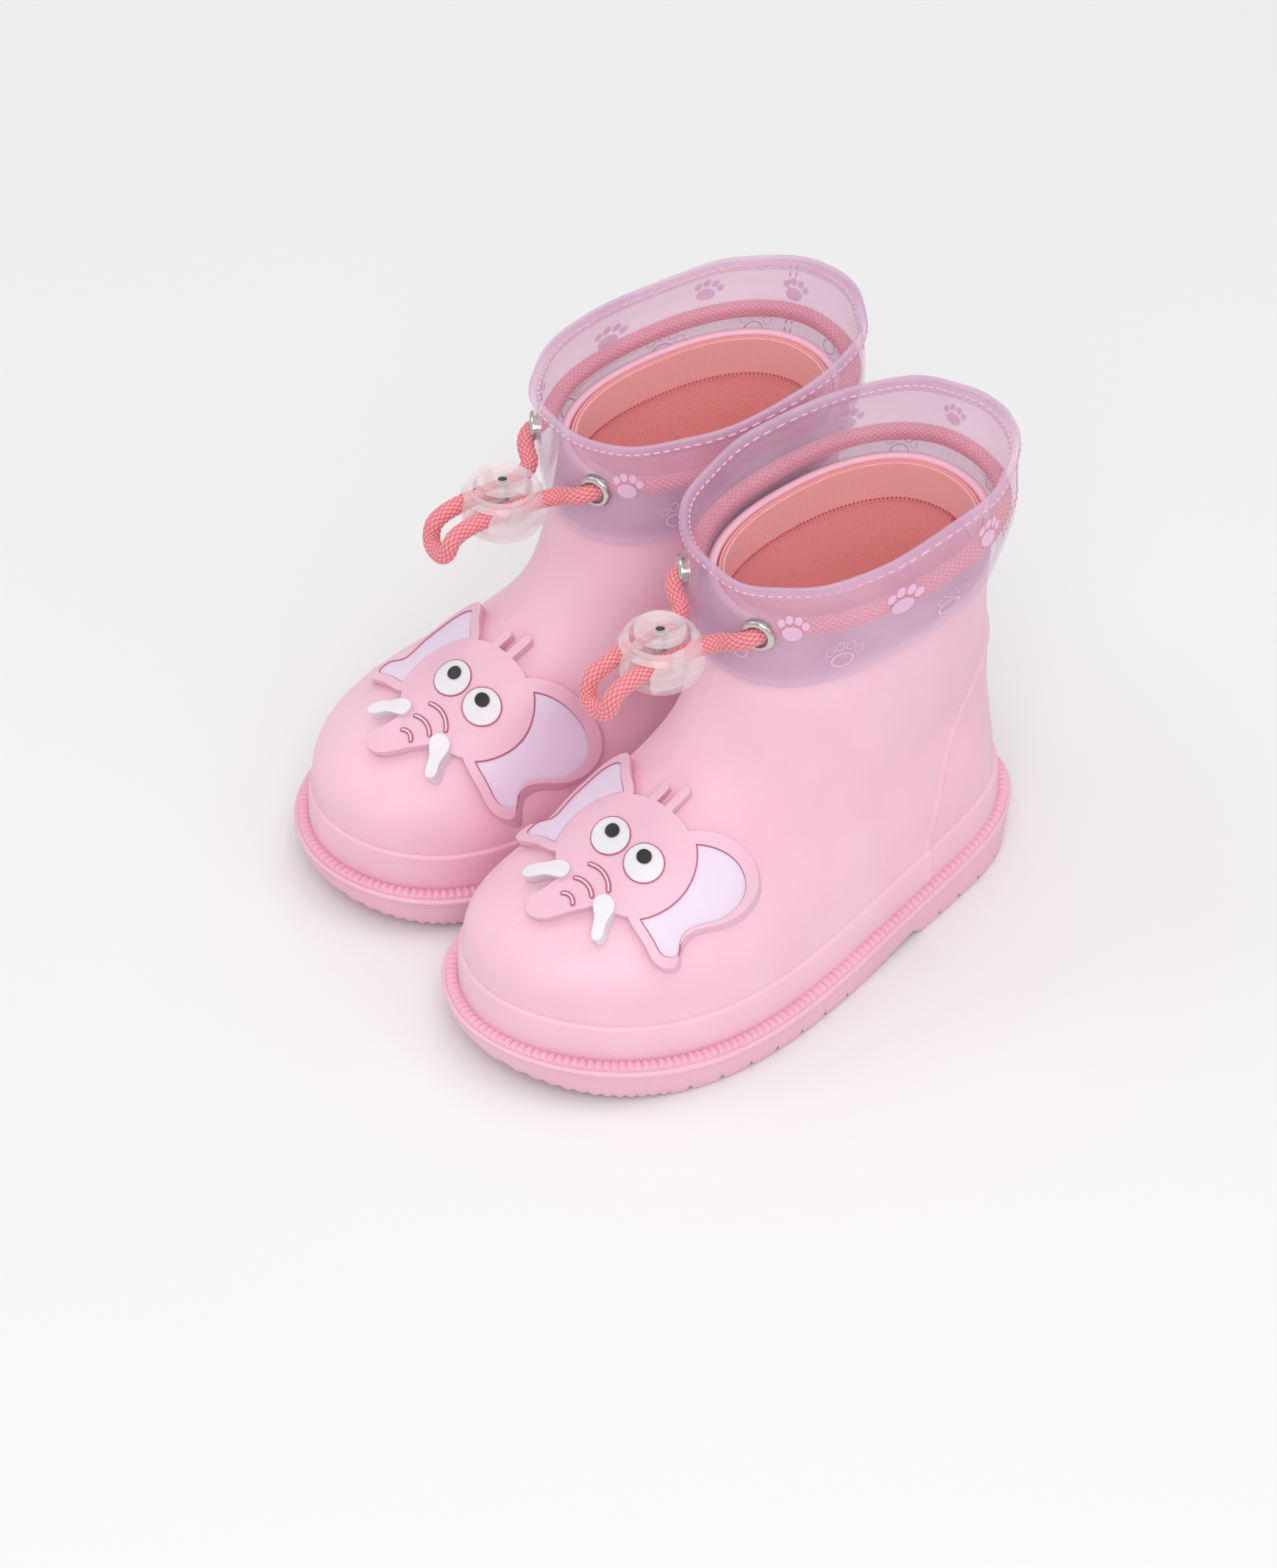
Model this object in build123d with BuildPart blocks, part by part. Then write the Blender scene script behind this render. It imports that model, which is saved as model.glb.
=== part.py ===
from build123d import *
from collections import namedtuple
import math
import os

os.makedirs("parts", exist_ok=True)

# Pair of children's rain boots. Millimetres, +Z up, toes towards -Y. The origin is on the ground,
# midway between the two boots. Each boot has a plane of its own, whose x runs across the boot,
# whose y runs from toe to heel, and whose origin is on the ground under the middle of the sole.
# side is +1 for the left boot, at +X, and -1 for the right boot, at -X.

# Pair
BOOT_SPACING = 67.0
SPLAY = 2.8
PAIR_SHIFT_Y = 0.0

# Sole outline: half widths at shares of the length from toe to heel
SOLE_HALF_LENGTH = 84.0
STATIONS = (0.048, 0.143, 0.292, 0.470, 0.649, 0.827, 0.940)
SOLE_OUTER = (21.8, 35.6, 43.2, 41.0, 33.4, 25.7, 17.4)
SOLE_INNER = (21.6, 32.1, 34.3, 33.0, 30.0, 25.8, 17.5)
SOLE_BOTTOM_INSET = 1.35
SOLE_BLOCK_HEIGHT = 18.0

# Sole seen from the side, as points (y, z)
LIP_LINE = ((-100, 16.2), (-84, 13.9), (-50, 10.0), (0, 9.6), (45, 11.8), (84, 15.2), (100, 16.8))
TOE_SPRING_LINE = ((-100, 15.9), (-84, 8.0), (-65, 2.1), (-45, 0.0))
ARCH_START_Y = 8.0
ARCH_TOP = (32.5, 2.6)
HEEL_BREAST_Y = 36.5
PROFILE_REACH = 100.0
PROFILE_HALF_WIDTH = 60.0

# Tread: V grooves across the sole
GROOVE_PITCH = 8.5
GROOVE_DEPTH = 1.6
GROOVE_WIDTH = 3.0
BALL_GROOVES = 7
BALL_GROOVE_FIRST_Y = -45.2
HEEL_GROOVES = 4
HEEL_GROOVE_FIRST_Y = 43.5
HEEL_GROOVE_PITCH = 8.2

# Ribbed welt that lies on the lip of the sole
WELT_INSET = 0.8
WELT_WIDTH = 2.2
WELT_HEIGHT = 2.2

# Upper: sections at heights z, each with its front and back, its widest on the outer and inner
# side, how round it is (0 has the sole's shape, 1 is a superellipse) and the power of its nose
Section = namedtuple("Section", "z front back outer inner roundness nose")
UPPER = (
    Section(9.0, -79.3, 79.5, 38.5, 29.8, 0.0, 2.3),
    Section(18.0, -79.5, 79.2, 38.6, 29.8, 0.0, 2.3),
    Section(26.0, -79.0, 78.6, 37.8, 29.4, 0.0, 2.3),
    Section(35.0, -76.5, 77.3, 36.0, 26.8, 0.1, 2.0),
    Section(45.0, -60.0, 76.0, 30.5, 23.0, 0.25, 1.7),
    Section(54.0, -43.0, 74.8, 26.6, 22.8, 0.45, 1.5),
    Section(62.0, -29.0, 73.6, 25.3, 23.7, 0.65, 1.5),
    Section(70.0, -19.0, 72.2, 25.2, 24.7, 0.85, 1.7),
    Section(80.0, -12.2, 70.2, 25.6, 25.7, 1.0, 2.0),
    Section(92.0, -7.6, 69.0, 26.3, 26.3, 1.0, 2.15),
    Section(104.0, -5.0, 69.2, 26.7, 26.7, 1.0, 2.25),
    Section(118.0, -4.4, 69.3, 26.6, 26.6, 1.0, 2.3),
)
HEEL_POWER = 2.3
TOPLINE_Y = 31.0
TOPLINE_Z = 110.3
TOPLINE_RISE = 3.5
SHELL_WALL = 2.2
SHELL_FLOOR = 3.0
FOXING_PROUD = 0.8
FOXING_TOP = 11.3
LINING_GAP = 0.1
LINING_WALL = 1.0
LINING_DROP = 0.6
FACING_WALL = 0.7
FACING_HEIGHT = 12.0
INSOLE_THICKNESS = 2.6
INSOLE_INSET = 4.6

# Film cuff: rings (centre y, half length, half width, height, rise of the back) of a ply's outer face
Ring = namedtuple("Ring", "y half_length half_width z rise")
OUTER_PLY = (
    Ring(31.0, 40.1, 28.5, 97.9, 6.1),
    Ring(31.3, 41.6, 30.2, 105.0, 5.0),
    Ring(31.8, 42.9, 31.4, 112.2, 4.2),
    Ring(31.8, 42.9, 31.4, 116.0, 4.2),
    Ring(31.7, 42.8, 30.6, 121.5, 4.4),
    Ring(31.5, 43.6, 30.1, 128.3, 4.8),
)
INNER_PLY = (
    Ring(31.0, 39.5, 27.9, 97.9, 6.1),
    Ring(31.7, 39.2, 28.3, 104.5, 4.8),
    Ring(32.0, 38.7, 28.0, 111.3, 3.9),
    Ring(31.8, 37.3, 25.7, 113.2, 3.9),
    Ring(31.8, 37.4, 25.8, 116.0, 3.9),
    Ring(31.7, 40.2, 28.3, 121.5, 4.3),
    Ring(31.5, 43.0, 29.5, 128.3, 4.8),
)
PLY_THICKNESS = 0.5
RING_POWER = 2.3
RING_POINTS = 24

# Drawstring in the cuff, between the plies, and in front of them
CORD_DIAMETER = 4.6
CHANNEL = Ring(31.8, 39.95, 28.45, 114.1, 4.0)
CHANNEL_POINTS = 23
CHANNEL_FRONT_ANGLE = 48.0
CHANNEL_END = (15.3, -4.1, 110.2)
EYELET_X = 15.0
EYELET_Y = -7.55
EYELET_Z = 109.5
EYELET_TURN = 30.0
EYELET_OUTER = 4.4
EYELET_HOLE = 2.75
EYELET_BARREL = 3.1
EYELET_LIP = 1.1
EYELET_REACH = 1.8
WASHER_OUTER = 4.1
WASHER_THICKNESS = 0.4
WASHER_DEPTH = 1.35

# Cord lock: a round clear body, a sprung button and two strands side by side
STRAND_X = 4.4
STRAND_Z = 103.8
LOCK_Y = -25.1
STRAND_ABOVE_LOCK_CENTRE = 1.5
LOCK_RADIUS = 11.0
LOCK_SLOT_WIDTH = 5.6
LOCK_SLOT_HALF_HEIGHT = 4.0
LOCK_BORE = 7.5
BUTTON_RADIUS = 7.35
BUTTON_TOP_RADIUS = 6.4
BUTTON_TRAVEL = 3.0
BUTTON_TOP = 9.0
BUTTON_BOTTOM = -1.8
BUTTON_HOLE = 1.25
SPRING_RADIUS = 1.35
SPRING_WIRE = 0.45
SPRING_TURNS = 7
SPRING_BORE = 1.75
LOCK_FLOOR = -5.0
LOCK_BOTTOM = -6.5

# Route of the front of the drawstring from an eyelet to the loop, and the radius of each corner
STRAND_START = (14.98, -7.6, 109.5)
STRAND_ROUTE = (STRAND_START, (14.6, -11.6, 108.7), (STRAND_X, -13.2, STRAND_Z), (STRAND_X, -41.3, STRAND_Z))
LOOP_LEFT = (-4.7, -43.8, 94.6)
LOOP_RIGHT = (4.7, -44.1, 95.4)
EYELET_BEND = 5.5
STRAND_BENDS = (4.6, 4.4)
LOOP_SHOULDER_BEND = 4.2
LOOP_BOTTOM_BEND = 4.3

# Raised motif on the toe, an elephant's head drawn flat and wrapped on the upper
MOTIF_CENTRE = (9.7, -41.8, 53.0)
MOTIF_ACROSS = (0.942, 0.0, -0.335)
MOTIF_NORMAL = (0.299, -0.451, 0.841)
MOTIF_BELOW = -20.0
MOTIF_ABOVE = 12.0
PATCH_THICKNESS = 3.0
INLAY_FLOOR = 1.6
INLAY_TOP = 2.5
EYE_TOP = 3.4
PUPIL_FLOOR = 2.5
PUPIL_TOP = 3.7
TUSK_TOP = 4.4
WRINKLE_TOP = 3.3
EAR_INLAY_SHARE = 0.83
HEAD = ((-13.5, -12), (-17, -1), (-12.5, 9.5), (-3, 15), (6, 15), (13, 9), (15.5, 0), (13, -8), (6, -12.5), (-4, -15))
LEFT_EAR = ((-10, 8), (-14, 11.5), (-18.5, 13.2), (-23.8, 15.2), (-26.3, 12), (-26.5, 4), (-25, -4), (-23.6, -10.5),
            (-26.6, -15.5), (-25.6, -18.8), (-20, -16.6), (-13, -13.5), (-9, -8))
RIGHT_EAR = ((3, 13), (9.5, 22), (16, 24.2), (22, 22), (25.8, 15), (25.6, 8), (24, 2), (25.6, -3), (28.4, -6.6),
             (26.5, -9.4), (22, -9.4), (17, -9), (12, -8), (8, 0))
TRUNK = ((-5, -10), (-6, -16), (-6, -21.5), (-6.3, -25.2), (-3, -27.3), (1.2, -24.2), (3.4, -18.5), (5.6, -13), (4, -9))
LEFT_TUSK = ((-5.0, -13.6), (-6.4, -12.4), (-8.4, -13), (-10.9, -16.6), (-13.2, -21.6), (-12.5, -22.9), (-10.9, -22.3),
             (-8.2, -18.4))
RIGHT_TUSK = ((4.8, -11.4), (6.2, -9.2), (8.8, -9.2), (10.6, -11.6), (12.2, -14.4), (14, -17.2), (13.2, -18.4),
              (11.4, -17.6), (8.4, -14.8))
EYES = ((-6.5, -0.2), (4.2, 2.3))
EYE_RADIUS = 4.8
PUPILS = ((-7.2, 0.9), (3.0, 3.3))
PUPIL_RADIUS = 1.8
WRINKLES = (((-3.7, -8.3), (0.9, -6.9), (4.8, -8.5)), ((-3.1, -13.1), (0.3, -11.7), (3.5, -12.5)),
            ((-1.7, -17.7), (0.2, -16.6), (2.2, -17.3)))
WRINKLE_WIDTH = 0.75
TUFTS = (((-7.4, 12.4), (-8.2, 17.4)), ((-3.2, 14), (-4.2, 20.8)))
TUFT_WIDTH = 2.0


def boot_plane(side):
    """The boot's own ground plane: x across, y from toe to heel."""
    angle = math.radians(SPLAY) * side
    across = (math.cos(angle), math.sin(angle), 0)
    return Plane(origin=(side * BOOT_SPACING / 2, PAIR_SHIFT_Y, 0), x_dir=across, z_dir=(0, 0, 1))


def placed(boot, point):
    """A point of the boot's own frame, in the frame of the pair."""
    return boot.from_local_coords(Vector(*point))


def directed(boot, direction):
    """A direction of the boot's own frame, in the frame of the pair."""
    return placed(boot, direction) - boot.origin


def side_plane(boot):
    """The boot's middle plane: its x is the boot's y and its y is the height."""
    return Plane(origin=boot.origin, x_dir=boot.y_dir, z_dir=boot.x_dir)


def mix(first, second, share):
    return first * (1 - share) + second * share


def superellipse(angle, power):
    """The point of a unit superellipse at an angle from its +y end."""
    cosine = math.cos(angle)
    sine = math.sin(angle)
    x = math.copysign(abs(sine) ** (2 / power), sine)
    y = math.copysign(abs(cosine) ** (2 / power), cosine)
    return x, y


def egg(share, nose):
    """Half width of a superellipse of unit half width at a share of its length."""
    power = nose if share < 0.5 else HEEL_POWER
    return (1 - abs(2 * share - 1) ** power) ** (1 / power)


def section_points(section, inset, side):
    """Points round one section of the boot, from the toe along the outer side."""
    front = section.front + inset
    length = section.back - inset - front
    outer_side = []
    inner_side = []
    for share, sole_outer, sole_inner in zip(STATIONS, SOLE_OUTER, SOLE_INNER):
        rounded = egg(share, section.nose)
        outer = (section.outer - inset) * mix(sole_outer / max(SOLE_OUTER), rounded, section.roundness)
        inner = (section.inner - inset) * mix(sole_inner / max(SOLE_INNER), rounded, section.roundness)
        outer_side.append((side * outer, front + length * share))
        inner_side.append((-side * inner, front + length * share))
    return [(0, front)] + outer_side + [(0, front + length)] + inner_side[::-1]


def smooth_face(points):
    """A flat face inside a smooth closed curve."""
    with BuildSketch() as face:
        with BuildLine():
            Spline(*points, periodic=True)
        make_face()
    return face.sketch


def sole_section(inset):
    return Section(0, -SOLE_HALF_LENGTH + inset, SOLE_HALF_LENGTH - inset, max(SOLE_OUTER) - inset,
                   max(SOLE_INNER) - inset, 0.0, HEEL_POWER)


def grown_upper(boot, side, grow):
    """The upper's outer form as one closed solid, grown by grow, or shrunk if it is negative."""
    with BuildPart() as form:
        for section in UPPER:
            with BuildSketch(boot.offset(section.z + 0.7 * grow)):
                add(smooth_face(section_points(section, -grow, side)))
        loft()
    return form.part


def side_band(boot, low, high):
    """A slab across the boot, between two heights over the line of the sole's lip."""
    with BuildPart() as band:
        with BuildSketch(side_plane(boot)):
            with BuildLine():
                lower = Spline(*[(y, z + low) for y, z in LIP_LINE])
                upper = Spline(*[(y, z + high) for y, z in LIP_LINE])
                Line(lower @ 0, upper @ 0)
                Line(lower @ 1, upper @ 1)
            make_face()
        extrude(amount=PROFILE_HALF_WIDTH, both=True)
    return band.part


def topline_plane(boot, drop):
    """The sloping plane of the shell's top edge, lowered by drop."""
    slope = TOPLINE_RISE / (SOLE_HALF_LENGTH / 2)
    return Plane(
        origin=placed(boot, (0, TOPLINE_Y, TOPLINE_Z - drop)),
        x_dir=boot.x_dir,
        z_dir=directed(boot, (0, -slope, 1)),
    )


def ring_plane(boot, ring):
    """The sloping plane of a cuff ring, with its origin at the ring's centre."""
    return Plane(
        origin=placed(boot, (0, ring.y, ring.z)),
        x_dir=boot.x_dir,
        z_dir=directed(boot, (0, -ring.rise / ring.half_length, 1)),
    )


def ring_face(ring, inset):
    points = []
    for index in range(RING_POINTS):
        x, y = superellipse(2 * math.pi * index / RING_POINTS, RING_POWER)
        points.append((x * (ring.half_width - inset), y * (ring.half_length - inset)))
    return smooth_face(points)


def ply_form(boot, rings, inset):
    """The closed solid inside a ply's face."""
    with BuildPart() as form:
        for ring in rings:
            with BuildSketch(ring_plane(boot, ring)):
                add(ring_face(ring, inset))
        loft(ruled=True)
    return form.part


def save(piece, name):
    piece.label = name
    export_step(piece, f"parts/{name}.step")


# Sole


def make_outsole(boot, side, name):
    """Moulded sole with toe spring, raised arch, heel and cross grooves."""
    with BuildPart() as outsole:
        with BuildSketch(boot):
            add(smooth_face(section_points(sole_section(0), SOLE_BOTTOM_INSET, side)))
        with BuildSketch(boot.offset(SOLE_BLOCK_HEIGHT)):
            add(smooth_face(section_points(sole_section(0), 0, side)))
        loft()
        with BuildSketch(side_plane(boot)):
            with BuildLine():
                toe = Spline(*TOE_SPRING_LINE, tangents=((1, -0.8), (1, 0)))
                Line(toe @ 1, (ARCH_START_Y, 0))
                Spline((ARCH_START_Y, 0), ARCH_TOP, tangents=((1, 0), (1, 0.3)))
                Polyline(ARCH_TOP, (HEEL_BREAST_Y, 0), (PROFILE_REACH, 0), LIP_LINE[-1])
                top = Spline(*LIP_LINE)
                Line(toe @ 0, top @ 0)
            make_face()
        extrude(amount=PROFILE_HALF_WIDTH, both=True, mode=Mode.INTERSECT)
        rows = [BALL_GROOVE_FIRST_Y + GROOVE_PITCH * index for index in range(BALL_GROOVES)]
        rows += [HEEL_GROOVE_FIRST_Y + HEEL_GROOVE_PITCH * index for index in range(HEEL_GROOVES)]
        with BuildSketch(side_plane(boot)):
            with Locations(*[(y, 0) for y in rows]):
                with BuildLine():
                    Polyline((-GROOVE_WIDTH / 2, -1), (GROOVE_WIDTH / 2, -1), (0, GROOVE_DEPTH), close=True)
                make_face()
        extrude(amount=PROFILE_HALF_WIDTH, both=True, mode=Mode.SUBTRACT)
    save(outsole.part, name)


def make_welt(boot, side, name):
    """Strip on the sole's lip, round the foot of the upper."""
    band = side_band(boot, 0, WELT_HEIGHT)
    with BuildPart() as welt:
        with BuildSketch(boot.offset(1)):
            add(smooth_face(section_points(sole_section(0), WELT_INSET, side)))
            add(smooth_face(section_points(sole_section(0), WELT_INSET + WELT_WIDTH, side)), mode=Mode.SUBTRACT)
        extrude(amount=SOLE_BLOCK_HEIGHT * 2)
        add(band, mode=Mode.INTERSECT)
    save(welt.part, name)


def make_insole(boot, side, name):
    """Foot bed that lies on the shell's floor, inside the lining."""
    band = side_band(boot, SHELL_FLOOR + LINING_GAP, SHELL_FLOOR + LINING_GAP + INSOLE_THICKNESS)
    with BuildPart() as insole:
        with BuildSketch(boot.offset(1)):
            add(smooth_face(section_points(UPPER[1], INSOLE_INSET, side)))
        extrude(amount=SOLE_BLOCK_HEIGHT * 2)
        add(band, mode=Mode.INTERSECT)
    save(insole.part, name)


# Upper and its lining


def make_shell(boot, side, form, name):
    """Moulded upper with its floor and its foxing band."""
    hollow = grown_upper(boot, side, -SHELL_WALL)
    hollow_above_floor = hollow - side_band(boot, -40, SHELL_FLOOR)
    foxing_band = side_band(boot, 0, FOXING_TOP)
    below_lip = side_band(boot, -40, 0)
    with BuildPart() as shell:
        with BuildSketch(boot.offset(2)):
            add(smooth_face(section_points(UPPER[1], -FOXING_PROUD, side)))
        extrude(amount=SOLE_BLOCK_HEIGHT * 2)
        add(foxing_band, mode=Mode.INTERSECT)
        add(form)
        add(below_lip, mode=Mode.SUBTRACT)
        add(hollow_above_floor, mode=Mode.SUBTRACT)
        split(bisect_by=topline_plane(boot, 0), keep=Keep.BOTTOM)
    save(shell.part, name)


def make_lining(boot, side, name):
    """Knitted lining inside the shell."""
    outside = grown_upper(boot, side, -SHELL_WALL - LINING_GAP)
    inside = grown_upper(boot, side, -SHELL_WALL - LINING_GAP - LINING_WALL)
    below_floor = side_band(boot, -40, SHELL_FLOOR + LINING_GAP)
    with BuildPart() as lining:
        add(outside)
        add(inside, mode=Mode.SUBTRACT)
        add(below_floor, mode=Mode.SUBTRACT)
        split(bisect_by=topline_plane(boot, LINING_DROP), keep=Keep.BOTTOM)
    save(lining.part, name)


def make_facing(boot, side, name):
    """Lighter band sewn round the top of the lining."""
    depth = SHELL_WALL + LINING_WALL + 2 * LINING_GAP
    outside = grown_upper(boot, side, -depth)
    inside = grown_upper(boot, side, -depth - FACING_WALL)
    with BuildPart() as facing:
        add(outside)
        add(inside, mode=Mode.SUBTRACT)
        split(bisect_by=topline_plane(boot, LINING_DROP), keep=Keep.BOTTOM)
        split(bisect_by=topline_plane(boot, FACING_HEIGHT), keep=Keep.TOP)
    save(facing.part, name)


# Motif on the toe


def motif_prism(boot, drawing):
    """The flat drawing, drawn out through the toe."""
    plane = Plane(
        origin=placed(boot, MOTIF_CENTRE),
        x_dir=directed(boot, MOTIF_ACROSS),
        z_dir=directed(boot, MOTIF_NORMAL),
    )
    with BuildPart() as prism:
        with BuildSketch(plane.offset(MOTIF_BELOW)):
            add(drawing)
        extrude(amount=MOTIF_ABOVE - MOTIF_BELOW)
    return prism.part


def stroke(points, width):
    """A slot with round ends along a straight or curved line."""
    if len(points) == 2:
        line = Edge.make_line(*points)
    else:
        line = Edge.make_three_point_arc(*points)
    with BuildSketch() as slot:
        SlotArc(line, width)
    return slot.sketch


def disc(centre, radius):
    with BuildSketch() as circle:
        with Locations(centre):
            Circle(radius)
    return circle.sketch


def head_drawing():
    """Head, ears, trunk and tufts of hair."""
    with BuildSketch() as drawing:
        for outline in (HEAD, LEFT_EAR, RIGHT_EAR, TRUNK):
            add(smooth_face(outline))
        for tuft in TUFTS:
            add(stroke(tuft, TUFT_WIDTH))
    return drawing.sketch


def shrunk(outline, share):
    """An outline drawn in towards the mean of its points."""
    centre_x = sum(x for x, _ in outline) / len(outline)
    centre_y = sum(y for _, y in outline) / len(outline)
    return [(mix(centre_x, x, share), mix(centre_y, y, share)) for x, y in outline]


def ear_drawings():
    """The inlay of each ear, inside the ear's raised border."""
    drawings = []
    for outline in (LEFT_EAR, RIGHT_EAR):
        with BuildSketch() as inlay:
            add(smooth_face(shrunk(outline, EAR_INLAY_SHARE)))
            add(smooth_face([(x * 1.04, y * 1.04) for x, y in HEAD]), mode=Mode.SUBTRACT)
        drawings.append(inlay.sketch.faces().sort_by(SortBy.AREA)[-1])
    return drawings


def layer(boot, drawing, low, high):
    """A drawing wrapped on the toe, between two grown forms of the upper."""
    with BuildPart() as piece:
        add(motif_prism(boot, drawing))
        add(high, mode=Mode.INTERSECT)
        add(low, mode=Mode.SUBTRACT)
    return piece.part


def layers(boot, drawings, low, high):
    return [layer(boot, drawing, low, high) for drawing in drawings]


def carved(pieces, pockets):
    """The pieces with every pocket cut out, one after the other."""
    with BuildPart() as result:
        for piece in pieces:
            add(piece)
        for pocket in pockets:
            add(pocket, mode=Mode.SUBTRACT)
    return result.part


def make_motif(boot, side, form, prefix):
    """Raised patch with the inlays that are set in it."""
    grown = {0: form}
    for height in (INLAY_FLOOR, INLAY_TOP, PUPIL_FLOOR, PATCH_THICKNESS, WRINKLE_TOP, EYE_TOP, PUPIL_TOP, TUSK_TOP):
        grown[height] = grown_upper(boot, side, height)
    ears = ear_drawings()
    eyes = [disc(centre, EYE_RADIUS) for centre in EYES]
    pupils = [disc(centre, PUPIL_RADIUS) for centre in PUPILS]
    tusks = [smooth_face(LEFT_TUSK), smooth_face(RIGHT_TUSK)]
    wrinkles = [stroke(wrinkle, WRINKLE_WIDTH) for wrinkle in WRINKLES]
    pockets = layers(boot, eyes + wrinkles + ears, grown[INLAY_FLOOR], grown[TUSK_TOP])
    tusk_solids = layers(boot, tusks, grown[0], grown[TUSK_TOP])
    head = layer(boot, head_drawing(), grown[0], grown[PATCH_THICKNESS])
    eyeballs = layers(boot, eyes, grown[INLAY_FLOOR], grown[EYE_TOP])
    pupil_pockets = layers(boot, pupils, grown[PUPIL_FLOOR], grown[TUSK_TOP])
    save(carved([head], tusk_solids + pockets), prefix + "motif_patch")
    save(carved(layers(boot, ears, grown[INLAY_FLOOR], grown[INLAY_TOP]), []), prefix + "motif_ear_inlays")
    save(carved(eyeballs, pupil_pockets), prefix + "motif_eyes")
    save(carved(layers(boot, pupils, grown[PUPIL_FLOOR], grown[PUPIL_TOP]), []), prefix + "motif_pupils")
    save(carved(tusk_solids, []), prefix + "motif_tusks")
    save(carved(layers(boot, wrinkles, grown[INLAY_FLOOR], grown[WRINKLE_TOP]), []), prefix + "motif_trunk_wrinkles")


# Cuff, eyelets and drawstring


def eyelet_plane(boot, hand):
    """Plane on the outer ply at an eyelet, with z pointing out. hand is +1 or -1 across the boot."""
    turn = math.radians(EYELET_TURN)
    return Plane(
        origin=placed(boot, (hand * EYELET_X, EYELET_Y, EYELET_Z)),
        x_dir=directed(boot, (math.cos(turn), hand * math.sin(turn), 0)),
        z_dir=directed(boot, (hand * math.sin(turn), -math.cos(turn), 0)),
    )


def make_ply(boot, rings, name, eyelet_holes):
    """One ply of the film cuff, open at the top and bottom."""
    outside = ply_form(boot, rings, 0)
    inside = ply_form(boot, rings, PLY_THICKNESS)
    with BuildPart() as ply:
        add(outside)
        add(inside, mode=Mode.SUBTRACT)
        if eyelet_holes:
            for hand in (1, -1):
                with BuildSketch(eyelet_plane(boot, hand)):
                    Circle(EYELET_BARREL + LINING_GAP)
                extrude(amount=EYELET_REACH * 1.5, both=True, mode=Mode.SUBTRACT)
    save(ply.part, name)


def make_eyelets(boot, name):
    """Two rolled metal eyelets in the outer ply."""
    with BuildPart() as eyelets:
        for hand in (1, -1):
            plane = eyelet_plane(boot, hand)
            profile = Plane(origin=plane.origin, x_dir=plane.x_dir, z_dir=-plane.y_dir)
            with BuildSketch(profile):
                with BuildLine():
                    Line((EYELET_HOLE, -EYELET_REACH), (EYELET_HOLE, EYELET_LIP * 0.6))
                    ThreePointArc((EYELET_HOLE, EYELET_LIP * 0.6), (EYELET_HOLE + 0.35, EYELET_LIP), (3.5, EYELET_LIP))
                    ThreePointArc((3.5, EYELET_LIP), (4.15, EYELET_LIP * 0.75), (EYELET_OUTER, 0.05))
                    Polyline((EYELET_OUTER, 0.05), (EYELET_BARREL, 0.05), (EYELET_BARREL, -EYELET_REACH),
                             (EYELET_HOLE, -EYELET_REACH))
                make_face()
            revolve(axis=Axis(plane.origin, plane.z_dir), revolution_arc=360)
    save(eyelets.part, name)


def make_washers(boot, name):
    """Flat rings that clamp the outer ply from inside the channel."""
    with BuildPart() as washers:
        for hand in (1, -1):
            with BuildSketch(eyelet_plane(boot, hand).offset(-WASHER_DEPTH - WASHER_THICKNESS)):
                Circle(WASHER_OUTER)
                Circle(EYELET_BARREL, mode=Mode.SUBTRACT)
            extrude(amount=WASHER_THICKNESS)
    save(washers.part, name)


def cord_along(points, radii, boot, name):
    """A round cord along straight runs joined by tangent arcs. Prints its length, volume and radii."""
    with BuildPart() as cord:
        with BuildLine() as route:
            FilletPolyline(*[placed(boot, point) for point in points], radius=radii)
        start = route.line @ 0
        with BuildSketch(Plane(origin=start, z_dir=route.line % 0)):
            Circle(CORD_DIAMETER / 2)
        sweep()
    length = sum(edge.length for edge in route.edges())
    section = math.pi * (CORD_DIAMETER / 2) ** 2
    print(f"{name}: length {length:.1f} volume {cord.part.volume:.1f} section x length {section * length:.1f}")
    print(f"{name}: bend radii {[round(radius, 1) for radius in radii]}")
    save(cord.part, name)


def channel_points():
    """Corners of the drawstring's way round the channel, from the left eyelet's side to the right one's."""
    points = []
    first = math.pi - math.radians(CHANNEL_FRONT_ANGLE)
    for index in range(CHANNEL_POINTS):
        angle = first - 2 * first * index / (CHANNEL_POINTS - 1)
        x, y = superellipse(angle, RING_POWER)
        slope = CHANNEL.rise / CHANNEL.half_length
        point_y = CHANNEL.y + y * CHANNEL.half_length
        points.append((x * CHANNEL.half_width, point_y, CHANNEL.z + slope * (point_y - CHANNEL.y)))
    return points


def corner_radius(before, corner, after):
    """The largest radius that the two runs at a corner leave room for."""
    first = Vector(*corner) - Vector(*before)
    second = Vector(*after) - Vector(*corner)
    half_turn = math.radians(first.get_angle(second)) / 2
    return 0.45 * min(first.length, second.length) / math.tan(half_turn)


def make_drawstring(boot, name):
    """The part of the drawstring between the plies, from eyelet to eyelet round the back."""
    ends = [STRAND_START, CHANNEL_END]
    points = ends + channel_points() + [(-x, y, z) for x, y, z in reversed(ends)]
    radii = [corner_radius(*points[index - 1 : index + 2]) for index in range(2, len(points) - 2)]
    radii = [EYELET_BEND] + radii + [EYELET_BEND]
    cord_along(points, radii, boot, name)


def make_drawstring_front(boot, name):
    """The part of the drawstring outside the cuff: through the lock, down into a loop and back."""
    there = list(STRAND_ROUTE)
    back = [(-x, y, z) for x, y, z in reversed(STRAND_ROUTE)]
    points = there + [LOOP_RIGHT, LOOP_LEFT] + back
    half_radii = [*STRAND_BENDS, LOOP_SHOULDER_BEND, LOOP_BOTTOM_BEND]
    radii = half_radii + half_radii[::-1]
    cord_along(points, radii, boot, name)


# Cord lock


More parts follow.
